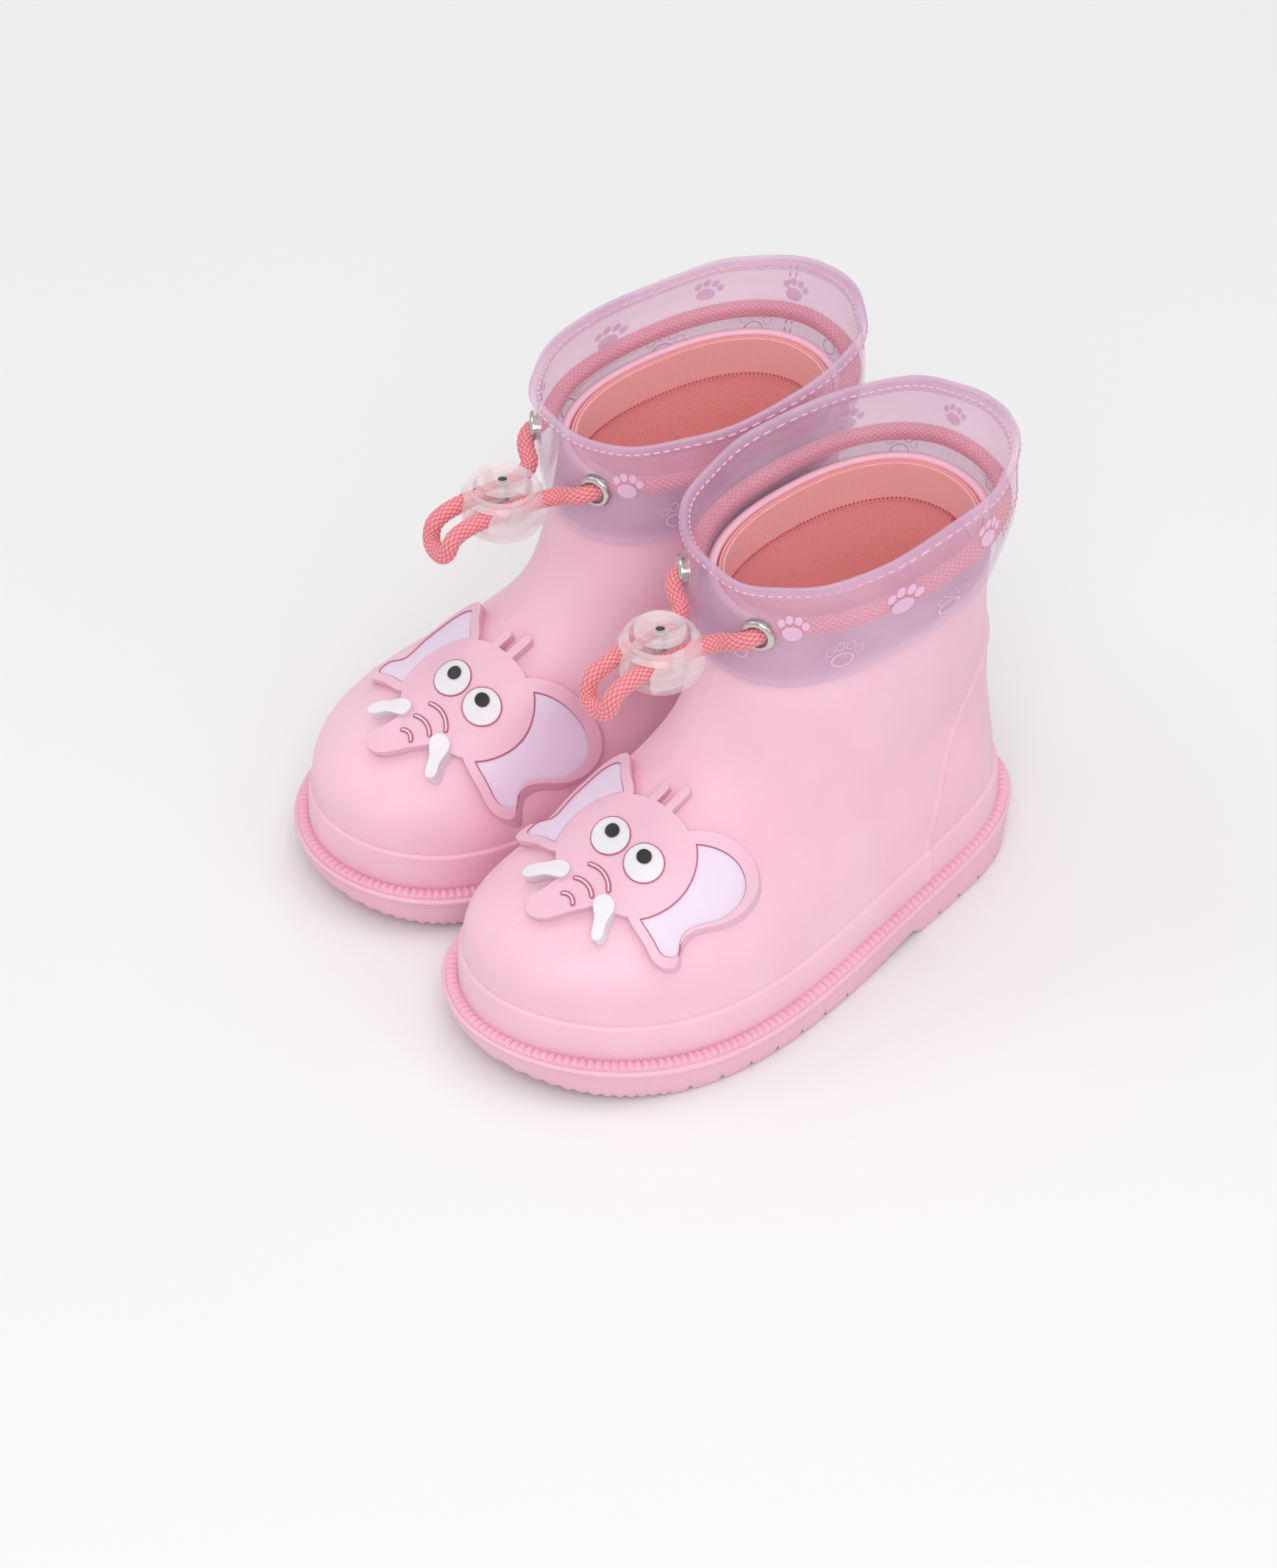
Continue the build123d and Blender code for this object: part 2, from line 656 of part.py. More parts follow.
def lock_plane(boot):
    """Plane through the middle of the cord lock, square to its button."""
    centre = placed(boot, (0, LOCK_Y, STRAND_Z - STRAND_ABOVE_LOCK_CENTRE))
    return Plane(origin=centre, x_dir=boot.x_dir, z_dir=(0, 0, 1))


def lock_section_plane(boot):
    """Upright plane through the lock's axis: its x is across the boot and its y is the height."""
    plane = lock_plane(boot)
    return Plane(origin=plane.origin, x_dir=plane.x_dir, z_dir=-plane.y_dir)


def make_lock_body(boot, name):
    """Round clear body with a bore for the button and a slot for each strand."""
    axis = Axis(lock_plane(boot).origin, (0, 0, 1))
    with BuildPart() as body:
        with BuildSketch(lock_section_plane(boot)):
            with BuildLine():
                Polyline((0, LOCK_BOTTOM), (6.2, LOCK_BOTTOM))
                ThreePointArc((6.2, LOCK_BOTTOM), (9.4, -4.9), (LOCK_RADIUS, -1.4))
                Line((LOCK_RADIUS, -1.4), (LOCK_RADIUS, 1.2))
                ThreePointArc((LOCK_RADIUS, 1.2), (10.2, 3.6), (8.9, 5.2))
                Polyline((8.9, 5.2), (8.9, 6.0), (LOCK_BORE, 6.0), (LOCK_BORE, LOCK_FLOOR), (0, LOCK_FLOOR),
                         (0, LOCK_BOTTOM))
            make_face()
        revolve(axis=axis, revolution_arc=360)
        with BuildSketch(lock_section_plane(boot)):
            with Locations((STRAND_X, 0), (-STRAND_X, 0)):
                Rectangle(LOCK_SLOT_WIDTH, 2 * LOCK_SLOT_HALF_HEIGHT)
        extrude(amount=2 * LOCK_RADIUS, both=True, mode=Mode.SUBTRACT)
    save(body.part, name)


def make_lock_button(boot, name):
    """Button that pinches the strands and is pressed down to let them run."""
    axis = Axis(lock_plane(boot).origin, (0, 0, 1))
    with BuildPart() as button:
        with BuildSketch(lock_section_plane(boot)):
            with BuildLine():
                Polyline((SPRING_BORE, BUTTON_BOTTOM), (BUTTON_RADIUS, BUTTON_BOTTOM), (BUTTON_RADIUS, 6.0),
                         (BUTTON_TOP_RADIUS, 6.8), (BUTTON_TOP_RADIUS, BUTTON_TOP - 0.8))
                ThreePointArc((BUTTON_TOP_RADIUS, BUTTON_TOP - 0.8), (BUTTON_TOP_RADIUS - 0.25, BUTTON_TOP - 0.25),
                              (BUTTON_TOP_RADIUS - 0.8, BUTTON_TOP))
                Polyline((BUTTON_TOP_RADIUS - 0.8, BUTTON_TOP), (2.6, BUTTON_TOP - 0.7), (BUTTON_HOLE, BUTTON_TOP - 0.7),
                         (BUTTON_HOLE, BUTTON_TOP - 1.4), (SPRING_BORE, BUTTON_TOP - 1.4), (SPRING_BORE, BUTTON_BOTTOM))
            make_face()
        revolve(axis=axis, revolution_arc=360)
        with BuildSketch(lock_section_plane(boot)):
            with Locations((STRAND_X, BUTTON_TRAVEL), (-STRAND_X, BUTTON_TRAVEL)):
                Rectangle(LOCK_SLOT_WIDTH, 2 * LOCK_SLOT_HALF_HEIGHT)
        extrude(amount=2 * LOCK_RADIUS, both=True, mode=Mode.SUBTRACT)
    save(button.part, name)


def make_lock_spring(boot, name):
    """Coil spring between the body's floor and the button's head."""
    height = BUTTON_TOP - 1.4 - LOCK_FLOOR - SPRING_WIRE - 0.1
    base = lock_plane(boot).offset(LOCK_FLOOR + SPRING_WIRE / 2 + 0.05)
    with BuildPart() as spring:
        with BuildLine() as coil:
            Helix(pitch=height / SPRING_TURNS, height=height, radius=SPRING_RADIUS, center=base.origin,
                  direction=(0, 0, 1))
        with BuildSketch(Plane(origin=coil.line @ 0, z_dir=coil.line % 0)):
            Circle(SPRING_WIRE / 2)
        sweep(is_frenet=True)
    save(spring.part, name)


def make_boot(side, prefix):
    """Every node of one boot."""
    boot = boot_plane(side)
    form = grown_upper(boot, side, 0)
    make_outsole(boot, side, prefix + "outsole")
    make_welt(boot, side, prefix + "welt")
    make_insole(boot, side, prefix + "insole")
    make_shell(boot, side, form, prefix + "shell")
    make_lining(boot, side, prefix + "lining")
    make_facing(boot, side, prefix + "lining_facing")
    make_motif(boot, side, form, prefix)
    make_ply(boot, OUTER_PLY, prefix + "cuff_outer_ply", True)
    make_ply(boot, INNER_PLY, prefix + "cuff_inner_ply", False)
    make_eyelets(boot, prefix + "eyelets")
    make_washers(boot, prefix + "eyelet_washers")
    make_drawstring(boot, prefix + "drawstring")
    make_drawstring_front(boot, prefix + "drawstring_front")
    make_lock_body(boot, prefix + "cord_lock_body")
    make_lock_button(boot, prefix + "cord_lock_button")
    make_lock_spring(boot, prefix + "cord_lock_spring")


make_boot(1, "left_")
make_boot(-1, "right_")
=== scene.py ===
"""A pair of children's rain boots with film cuffs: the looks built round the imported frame."""
import math

import bpy
import numpy as np
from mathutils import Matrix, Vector


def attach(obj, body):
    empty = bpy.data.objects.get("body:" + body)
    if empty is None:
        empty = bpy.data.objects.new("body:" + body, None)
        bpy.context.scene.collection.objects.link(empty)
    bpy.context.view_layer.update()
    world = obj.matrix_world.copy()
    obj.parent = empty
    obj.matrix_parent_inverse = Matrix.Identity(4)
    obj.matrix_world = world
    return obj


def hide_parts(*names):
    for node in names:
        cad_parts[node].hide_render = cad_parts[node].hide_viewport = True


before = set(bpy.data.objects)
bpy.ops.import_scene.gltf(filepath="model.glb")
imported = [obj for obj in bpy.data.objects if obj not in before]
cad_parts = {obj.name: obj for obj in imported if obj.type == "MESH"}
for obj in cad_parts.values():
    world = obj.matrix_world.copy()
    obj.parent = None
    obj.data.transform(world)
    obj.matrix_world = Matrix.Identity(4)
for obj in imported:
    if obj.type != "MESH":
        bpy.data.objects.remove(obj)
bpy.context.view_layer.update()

MM = 0.001

# Placing of the two boots

BOOT_SPACING = 67.0
SPLAY = math.radians(2.8)
SIDES = {"left_": 1, "right_": -1}


def to_world(points, side):
    """Boot points in mm, x across and y from toe to heel, as points of the frame in metres."""
    points = np.asarray(points, float)
    x, y, z = points[..., 0], points[..., 1], points[..., 2]
    cosine, sine = math.cos(SPLAY), side * math.sin(SPLAY)
    placed = np.stack([side * BOOT_SPACING / 2 + x * cosine - y * sine, x * sine + y * cosine, z], axis=-1)
    return placed * MM


# Camera

CAMERA_AZIMUTH = math.radians(56.29)
CAMERA_ELEVATION = math.radians(41.42)
CAMERA_DISTANCE = 1.193
CAMERA_LENS = 107.2


def make_camera():
    right = Vector((math.cos(CAMERA_AZIMUTH), math.sin(CAMERA_AZIMUTH), 0))
    back = Vector((math.sin(CAMERA_AZIMUTH) * math.cos(CAMERA_ELEVATION),
                   -math.cos(CAMERA_AZIMUTH) * math.cos(CAMERA_ELEVATION), math.sin(CAMERA_ELEVATION)))
    target = right * -0.00673 + Vector((0, 0, 0.02355))
    data = bpy.data.cameras.new("camera")
    data.sensor_width = 36.0
    data.lens = CAMERA_LENS
    data.clip_start = 0.05
    data.clip_end = 20
    camera = bpy.data.objects.new("camera", data)
    camera.location = target + back * CAMERA_DISTANCE
    camera.rotation_mode = "QUATERNION"
    camera.rotation_quaternion = (-back).to_track_quat("-Z", "Y")
    bpy.context.scene.collection.objects.link(camera)
    bpy.context.scene.camera = camera


# Mesh helpers


def link_mesh(name, vertices, faces, material, smooth=True):
    mesh = bpy.data.meshes.new(name)
    mesh.from_pydata([tuple(v) for v in vertices], [], faces)
    mesh.update()
    if smooth:
        mesh.polygons.foreach_set("use_smooth", [True] * len(mesh.polygons))
    mesh.materials.append(material)
    obj = bpy.data.objects.new(name, mesh)
    bpy.context.scene.collection.objects.link(obj)
    return obj


def grid_faces(rows, columns, wrap, start=0, flip=False, closed=False):
    """Faces of a grid of rows by columns, joined round its columns if wrap is true and its rows if closed is."""
    faces = []
    for row in range(rows if closed else rows - 1):
        below = (row + 1) % rows
        for column in range(columns if wrap else columns - 1):
            after = (column + 1) % columns
            a, b = start + row * columns + column, start + row * columns + after
            c, d = start + below * columns + after, start + below * columns + column
            faces.append((a, d, c, b) if flip else (a, b, c, d))
    return faces


def add_grid_uv(obj, grid_uv):
    """Writes a UV map from one (u, v) for each vertex."""
    layer = obj.data.uv_layers.new(name="along")
    index = np.zeros(len(obj.data.loops), np.int32)
    obj.data.loops.foreach_get("vertex_index", index)
    layer.data.foreach_set("uv", np.asarray(grid_uv, np.float32)[index].ravel())


def surface(name, grid, side, material, wrap=True, flip=False, closed=False):
    """A piece from a grid of boot points in mm. The left boot's own mirror image is the right one."""
    rows, columns = grid.shape[:2]
    points = to_world(grid.reshape(-1, 3), side)
    return link_mesh(name, points, grid_faces(rows, columns, wrap, 0, flip != (side < 0), closed), material)


def mirrored(grid, side):
    grid = np.array(grid, float)
    if side < 0:
        grid[..., 0] *= -1
    return grid


# Curves through points


def natural_spline(knots, values, at):
    """A cubic spline through values at the knots, read at the places in at."""
    knots, values = np.asarray(knots, float), np.asarray(values, float)
    count = len(knots)
    gap = np.diff(knots)
    system = np.zeros((count, count))
    right = np.zeros((count,) + values.shape[1:])
    system[0, 0] = system[-1, -1] = 1
    for i in range(1, count - 1):
        system[i, i - 1:i + 2] = gap[i - 1], 2 * (gap[i - 1] + gap[i]), gap[i]
        right[i] = 6 * ((values[i + 1] - values[i]) / gap[i] - (values[i] - values[i - 1]) / gap[i - 1])
    bend = np.linalg.solve(system, right.reshape(count, -1)).reshape(right.shape)
    at = np.clip(np.asarray(at, float), knots[0], knots[-1])
    i = np.clip(np.searchsorted(knots, at) - 1, 0, count - 2)
    shape = at.shape + (1,) * (values.ndim - 1)
    before, after, h = (at - knots[i]).reshape(shape), (knots[i + 1] - at).reshape(shape), gap[i].reshape(shape)
    return (bend[i] * after ** 3 + bend[i + 1] * before ** 3) / (6 * h) \
        + (values[i] / h - bend[i] * h / 6) * after + (values[i + 1] / h - bend[i + 1] * h / 6) * before


def closed_spline(points, count):
    """count points, evenly spaced in the curve's own parameter, round a smooth closed curve."""
    points = np.asarray(points, float)
    wide = np.concatenate([points[-4:], points, points[:5]])
    steps = np.linalg.norm(np.diff(wide, axis=0), axis=1)
    knots = np.concatenate([[0], np.cumsum(steps)])
    begin, end = knots[4], knots[4 + len(points)]
    return natural_spline(knots, wide, np.linspace(begin, end, count, endpoint=False))


# The boot's form, as the CAD has it

SOLE_HALF_LENGTH = 84.0
STATIONS = (0.048, 0.143, 0.292, 0.470, 0.649, 0.827, 0.940)
SOLE_OUTER = (21.8, 35.6, 43.2, 41.0, 33.4, 25.7, 17.4)
SOLE_INNER = (21.6, 32.1, 34.3, 33.0, 30.0, 25.8, 17.5)
LIP_LINE = ((-100, 16.2), (-84, 13.9), (-50, 10.0), (0, 9.6), (45, 11.8), (84, 15.2), (100, 16.8))
TOE_SPRING_LINE = ((-100, 15.9), (-84, 8.0), (-65, 2.1), (-45, 0.0))
UPPER = (
    (9.0, -79.3, 79.5, 38.5, 29.8, 0.0, 2.3),
    (18.0, -79.5, 79.2, 38.6, 29.8, 0.0, 2.3),
    (26.0, -79.0, 78.6, 37.8, 29.4, 0.0, 2.3),
    (35.0, -76.5, 77.3, 36.0, 26.8, 0.1, 2.0),
    (45.0, -60.0, 76.0, 30.5, 23.0, 0.25, 1.7),
    (54.0, -43.0, 74.8, 26.6, 22.8, 0.45, 1.5),
    (62.0, -29.0, 73.6, 25.3, 23.7, 0.65, 1.5),
    (70.0, -19.0, 72.2, 25.2, 24.7, 0.85, 1.7),
    (80.0, -12.2, 70.2, 25.6, 25.7, 1.0, 2.0),
    (92.0, -7.6, 69.0, 26.3, 26.3, 1.0, 2.15),
    (104.0, -5.0, 69.2, 26.7, 26.7, 1.0, 2.25),
    (118.0, -4.4, 69.3, 26.6, 26.6, 1.0, 2.3),
)
TOPLINE = (31.0, 110.3, 3.5 / 42.0)
FOXING_TOP = 11.3
FOXING_PROUD = 0.8
SHELL_WALL = 2.2
COLUMNS = 640


def egg(share, nose):
    power = nose if share < 0.5 else 2.3
    return (1 - abs(2 * share - 1) ** power) ** (1 / power)


def section_outline(section, grow):
    """The left boot's points round one section, from the toe along the outer side."""
    height, front, back, outer, inner, roundness, nose = section
    front -= grow
    length = back + grow - front
    outer_side, inner_side = [], []
    for share, sole_outer, sole_inner in zip(STATIONS, SOLE_OUTER, SOLE_INNER):
        rounded = egg(share, nose)
        wide = sole_outer / max(SOLE_OUTER) * (1 - roundness) + rounded * roundness
        narrow = sole_inner / max(SOLE_INNER) * (1 - roundness) + rounded * roundness
        outer_side.append(((outer + grow) * wide, front + length * share))
        inner_side.append((-(inner + grow) * narrow, front + length * share))
    return [(0, front)] + outer_side + [(0, front + length)] + inner_side[::-1]


def sole_outline(inset, count):
    section = (0, -SOLE_HALF_LENGTH, SOLE_HALF_LENGTH, max(SOLE_OUTER), max(SOLE_INNER), 0.0, 2.3)
    return closed_spline(section_outline(section, -inset), count)


def lip_height(y):
    return natural_spline([p[0] for p in LIP_LINE], [p[1] for p in LIP_LINE], y)


def topline_height(y):
    return TOPLINE[1] + TOPLINE[2] * (y - TOPLINE[0])


def upper_table(grow, columns=COLUMNS):
    """Heights, and the outline of the upper at each of them."""
    knots = [section[0] + 0.7 * grow for section in UPPER]
    outlines = np.array([closed_spline(section_outline(section, grow), columns) for section in UPPER])
    heights = np.arange(knots[0], knots[-1], 0.25)
    return heights, natural_spline(knots, outlines, heights)


def upper_at(table, heights):
    """Points of the upper, for an array of heights by row and column."""
    levels, outlines = table
    place = np.clip((heights - levels[0]) / 0.25, 0, len(levels) - 1.001)
    low = place.astype(int)
    share = (place - low)[..., None]
    column = np.broadcast_to(np.arange(outlines.shape[1]), heights.shape)
    flat = outlines[low, column] * (1 - share) + outlines[low + 1, column] * share
    return np.concatenate([flat, heights[..., None]], axis=-1)


def height_where(table, line, guess):
    """For each column, the height where the upper meets a line that depends on y."""
    heights = np.full(table[1].shape[1], float(guess))
    for _ in range(30):
        heights = 0.5 * heights + 0.5 * line(upper_at(table, heights[None])[0, :, 1])
    return heights


def grid_normals(grid):
    """Unit normals of a grid that closes round its columns, pointing out."""
    around = np.roll(grid, -1, axis=1) - np.roll(grid, 1, axis=1)
    up = np.gradient(grid, axis=0)
    normal = np.cross(around, up)
    normal /= np.maximum(np.linalg.norm(normal, axis=-1, keepdims=True), 1e-9)
    return normal


# Materials


def principled(name, color, roughness, **values):
    material = bpy.data.materials.new(name)
    material.use_nodes = True
    shader = material.node_tree.nodes["Principled BSDF"]
    shader.inputs["Base Color"].default_value = (*color, 1)
    shader.inputs["Roughness"].default_value = roughness
    for key, value in values.items():
        shader.inputs[key.replace("_", " ")].default_value = value
    return material, shader


def srgb(red, green, blue):
    """A colour as it looks on a screen, from 0 to 255, as the shader wants it."""
    return tuple(((c / 255 + 0.055) / 1.055) ** 2.4 if c > 10 else c / 255 / 12.92 for c in (red, green, blue))


def node(tree, kind, **values):
    made = tree.nodes.new(kind)
    for key, value in values.items():
        if key in made.inputs:
            made.inputs[key].default_value = value
        else:
            setattr(made, key, value)
    return made


def object_coordinates(tree, scale=(1, 1, 1)):
    source = node(tree, "ShaderNodeTexCoord")
    mapping = node(tree, "ShaderNodeMapping")
    mapping.inputs["Scale"].default_value = scale
    tree.links.new(source.outputs["Object"], mapping.inputs["Vector"])
    return mapping.outputs["Vector"]


def add_bump(tree, shader, height, strength, distance):
    """A bump on top of the bumps that the shader already has."""
    bump = node(tree, "ShaderNodeBump")
    bump.inputs["Strength"].default_value = strength
    bump.inputs["Distance"].default_value = distance
    tree.links.new(height, bump.inputs["Height"])
    socket = shader.inputs["Normal"]
    if socket.is_linked:
        tree.links.new(socket.links[0].from_socket, bump.inputs["Normal"])
    tree.links.new(bump.outputs["Normal"], socket)


def noise(tree, vector, scale, detail=2.0, roughness=0.5):
    made = node(tree, "ShaderNodeTexNoise")
    made.inputs["Scale"].default_value = scale
    made.inputs["Detail"].default_value = detail
    made.inputs["Roughness"].default_value = roughness
    tree.links.new(vector, made.inputs["Vector"])
    return made.outputs["Fac"]


def vary_color(tree, shader, factor, dark, light, low=0.35, high=0.65):
    ramp = node(tree, "ShaderNodeValToRGB")
    ramp.color_ramp.elements[0].position = low
    ramp.color_ramp.elements[1].position = high
    ramp.color_ramp.elements[0].color = (*dark, 1)
    ramp.color_ramp.elements[1].color = (*light, 1)
    tree.links.new(factor, ramp.inputs["Fac"])
    tree.links.new(ramp.outputs["Color"], shader.inputs["Base Color"])


def vary_roughness(tree, shader, factor, low, high):
    span = node(tree, "ShaderNodeMapRange")
    span.inputs["To Min"].default_value = low
    span.inputs["To Max"].default_value = high
    tree.links.new(factor, span.inputs["Value"])
    tree.links.new(span.outputs["Result"], shader.inputs["Roughness"])


def moulded(name, dark, light, roughness=(0.42, 0.55), grain=0.25, sub=0.15, **values):
    """Soft moulded PVC: faint cloudiness, a fine grain and long soft waves."""
    material, shader = principled(name, light, 0.5, **values)
    tree = material.node_tree
    vector = object_coordinates(tree)
    shader.inputs["Subsurface Weight"].default_value = sub
    shader.inputs["Subsurface Radius"].default_value = (1.0, 0.45, 0.5)
    shader.inputs["Subsurface Scale"].default_value = 0.003
    vary_color(tree, shader, noise(tree, vector, 28, 4), dark, light)
    vary_roughness(tree, shader, noise(tree, vector, 90, 3), *roughness)
    add_bump(tree, shader, noise(tree, vector, 1800, 3, 0.6), grain, 0.00012)
    add_bump(tree, shader, noise(tree, vector, 60, 2), 0.12, 0.0008)
    return material


PAINTED_GLOW = 0.12  # painted glow: emission on the knitted lining and facing that brightens the inside of the shaft, standing in for light that comes through the thin wall of the upper


def knitted(name, dark, light, pitch, depth):
    """Knitted cloth: rows of loops along the piece's own UV, whose unit is a millimetre."""
    # the emission is a painted glow: coral light from the knit itself that lights up the inside of the shaft
    material, shader = principled(name, light, 0.9, Sheen_Weight=0.5, Sheen_Roughness=0.5,
                                  Emission_Color=(*srgb(244, 160, 158), 1), Emission_Strength=PAINTED_GLOW)
    tree = material.node_tree
    source = node(tree, "ShaderNodeUVMap")
    source.uv_map = "along"
    split = node(tree, "ShaderNodeSeparateXYZ")
    tree.links.new(source.outputs["UV"], split.inputs["Vector"])

    def math_node(operation, first, second=None):
        made = node(tree, "ShaderNodeMath")
        made.operation = operation
        for socket, value in zip(made.inputs, (first, second)):
            if value is None:
                continue
            if isinstance(value, (int, float)):
                socket.default_value = value
            else:
                tree.links.new(value, socket)
        return made.outputs[0]

    wale = math_node("ABSOLUTE", math_node("SINE", math_node("MULTIPLY", split.outputs["X"], math.pi / pitch)))
    lean = math_node("MULTIPLY", wale, 0.5)
    course = math_node("MULTIPLY", math_node("ADD", math_node("DIVIDE", split.outputs["Y"], pitch * 0.8), lean),
                       2 * math.pi)
    loops = math_node("ADD", math_node("MULTIPLY", math_node("SINE", course), 0.5), wale)
    height = math_node("MULTIPLY", loops, 0.6)
    vector = object_coordinates(tree)
    fuzz = noise(tree, vector, 2600, 2)
    # painted shade between the loops: the colour follows the loops' height, darker in the dips, with random fuzz tone
    # mixed in
    shade = math_node("ADD", math_node("MULTIPLY", height, 0.55), math_node("MULTIPLY", fuzz, 0.35))
    vary_color(tree, shader, shade, dark, light, 0.15, 0.75)
    add_bump(tree, shader, height, 0.8, depth)
    add_bump(tree, shader, fuzz, 0.4, 0.0002)
    return material


def make_materials():
    made = {}
    made["shell"] = moulded("shell_pvc", srgb(240, 190, 209), srgb(244, 200, 216), (0.40, 0.52))
    made["outsole"] = moulded("outsole_pvc", srgb(236, 182, 202), srgb(241, 192, 210), (0.5, 0.65), 0.4)
    made["welt"] = moulded("welt_pvc", srgb(234, 172, 192), srgb(240, 184, 204), (0.5, 0.65), 0.4)
    made["motif"] = moulded("motif_pink", srgb(232, 184, 204), srgb(238, 194, 212), (0.35, 0.5))
    # painted shade: deep pink for tubes laid in the gaps round the motif's inlays, eyes and wrinkles
    made["line"] = moulded("motif_gap_shade", srgb(190, 92, 124), srgb(200, 104, 134), (0.5, 0.65))
    made["lilac"] = moulded("motif_lilac", srgb(230, 210, 232), srgb(236, 218, 238), (0.35, 0.5))
    made["white"] = moulded("motif_white", srgb(226, 222, 228), srgb(236, 233, 238), (0.3, 0.45))
    made["black"] = moulded("motif_black", srgb(8, 8, 10), srgb(20, 18, 20), (0.2, 0.35), 0.1, 0.0)
    made["lining"] = knitted("lining_knit", srgb(236, 132, 136), srgb(255, 176, 174), 0.9, 0.0004)
    made["facing"] = knitted("facing_knit", srgb(240, 156, 158), srgb(255, 198, 196), 0.7, 0.0003)
    made["insole"] = moulded("insole_textile", srgb(232, 134, 142), srgb(244, 160, 164), (0.8, 0.95), 0.8, 0.0)
    made["thread"] = moulded("thread", srgb(238, 170, 204), srgb(250, 206, 228), (0.6, 0.8), 0.6, 0.0)
    made["paw"] = moulded("paw_print", srgb(242, 200, 232), srgb(248, 212, 240), (0.35, 0.5), 0.1, 0.0, Alpha=0.75)
    made["paw_line"] = moulded("paw_line", srgb(236, 204, 230), srgb(244, 214, 238), (0.35, 0.5), 0.1, 0.0, Alpha=0.8)
    made["film"] = film_material("cuff_film", 0.24)
    made["rim"] = film_material("cuff_rim", 0.4)
    made["seam"] = moulded("seam_thread", srgb(196, 84, 100), srgb(214, 104, 118), (0.6, 0.8), 0.6, 0.0)
    made["cord"] = cord_material()
    made["nickel"] = metal_material("nickel", srgb(205, 203, 198), 0.16)
    made["steel"] = metal_material("spring_steel", srgb(180, 180, 182), 0.28)
    # painted shade: dark steel for the spring's end, where the button's hole lies in shade
    made["dark_steel"] = metal_material("spring_shadow", srgb(96, 96, 98), 0.4)
    made["clear"] = clear_material()
    return made


def film_material(name, alpha):
    """Frosted soft film: milky, a little lilac, with faint long waves."""
    material, shader = principled(name, srgb(232, 196, 224), 0.3, Alpha=alpha, Specular_IOR_Level=0.6)
    tree = material.node_tree
    vector = object_coordinates(tree)
    vary_color(tree, shader, noise(tree, vector, 35, 3), srgb(234, 194, 224), srgb(246, 214, 238))
    vary_roughness(tree, shader, noise(tree, vector, 120, 3), 0.24, 0.42)
    add_bump(tree, shader, noise(tree, vector, 2200, 2), 0.15, 0.0001)
    add_bump(tree, shader, noise(tree, vector, 45, 2), 0.35, 0.0012)
    return material


def cord_material():
    """Braided cord: colour keyed to the braid's relief, stored on its vertices: painted shade in the valleys and
    painted highlight on the strand tops, with random fuzz tone.
    """
    material, shader = principled("cord", srgb(228, 130, 142), 0.75, Sheen_Weight=0.4, Sheen_Roughness=0.4)
    tree = material.node_tree
    relief = node(tree, "ShaderNodeAttribute")
    relief.attribute_name = "relief"
    fuzz = noise(tree, object_coordinates(tree), 3000, 2)
    mixed = node(tree, "ShaderNodeMath")
    mixed.operation = "MULTIPLY_ADD"
    mixed.inputs[1].default_value = 0.3
    tree.links.new(fuzz, mixed.inputs[0])
    tree.links.new(relief.outputs["Fac"], mixed.inputs[2])
    # painted shade and highlight: dark coral where the relief dips, light pink on the strand tops
    vary_color(tree, shader, mixed.outputs[0], srgb(204, 70, 88), srgb(243, 160, 166), 0.25, 1.0)
    add_bump(tree, shader, fuzz, 0.5, 0.0002)
    return material


def metal_material(name, color, roughness):
    material, shader = principled(name, color, roughness, Metallic=1.0)
    tree = material.node_tree
    vector = object_coordinates(tree)
    vary_roughness(tree, shader, noise(tree, vector, 400, 3), roughness * 0.7, roughness * 1.5)
    add_bump(tree, shader, noise(tree, vector, 900, 2), 0.15, 0.00005)
    return material


def clear_material():
    material, shader = principled("lock_clear", srgb(255, 240, 244), 0.08, Alpha=0.3, IOR=1.5, Specular_IOR_Level=0.9,
                                  Coat_Weight=0.6, Coat_Roughness=0.05)
    tree = material.node_tree
    vector = object_coordinates(tree)
    vary_roughness(tree, shader, noise(tree, vector, 150, 3), 0.04, 0.14)
    add_bump(tree, shader, noise(tree, vector, 260, 2), 0.12, 0.0003)
    return material


# Sole


def sole_bottom(y):
    """Height of the outsole's underside, with its toe spring, arch and cross grooves."""
    toe = natural_spline([p[0] for p in TOE_SPRING_LINE], [p[1] for p in TOE_SPRING_LINE], np.clip(y, -100, -45))
    base = np.where(y < -45, np.maximum(toe, 0), 0.0)
    share = np.clip((y - 8.0) / 24.5, 0, 1)
    arch = np.where(y <= 32.5, 2.6 * share ** 1.6, np.clip(2.6 * (36.5 - y) / 4.0, 0, 2.6))
    base = base + np.where((y > 8) & (y < 36.5), arch, 0)
    rows = [-45.2 + 8.5 * i for i in range(7)] + [43.5 + 8.2 * i for i in range(4)]
    groove = sum(np.clip(1.6 * (1 - np.abs(y - row) / 1.05), 0, None) for row in rows)
    teeth = np.where(y < -50, 0.8 * (1 - np.abs(((y + 84) / 2.5) % 1 * 2 - 1)), 0)
    return base + groove + teeth


def crossing_grid(ring, height):
    """A grid that spans a closed ring from each point to the one across, at a height that depends on y."""
    half = len(ring) // 2
    near, far = ring[:half + 1], np.roll(ring[::-1], 1, axis=0)[:half + 1]
    across = np.linspace(0, 1, 13)[:, None, None]
    flat = near[None] * (1 - across) + far[None] * across
    flat[1:-1, :, 2] = height(flat[1:-1, :, 1])
    return flat


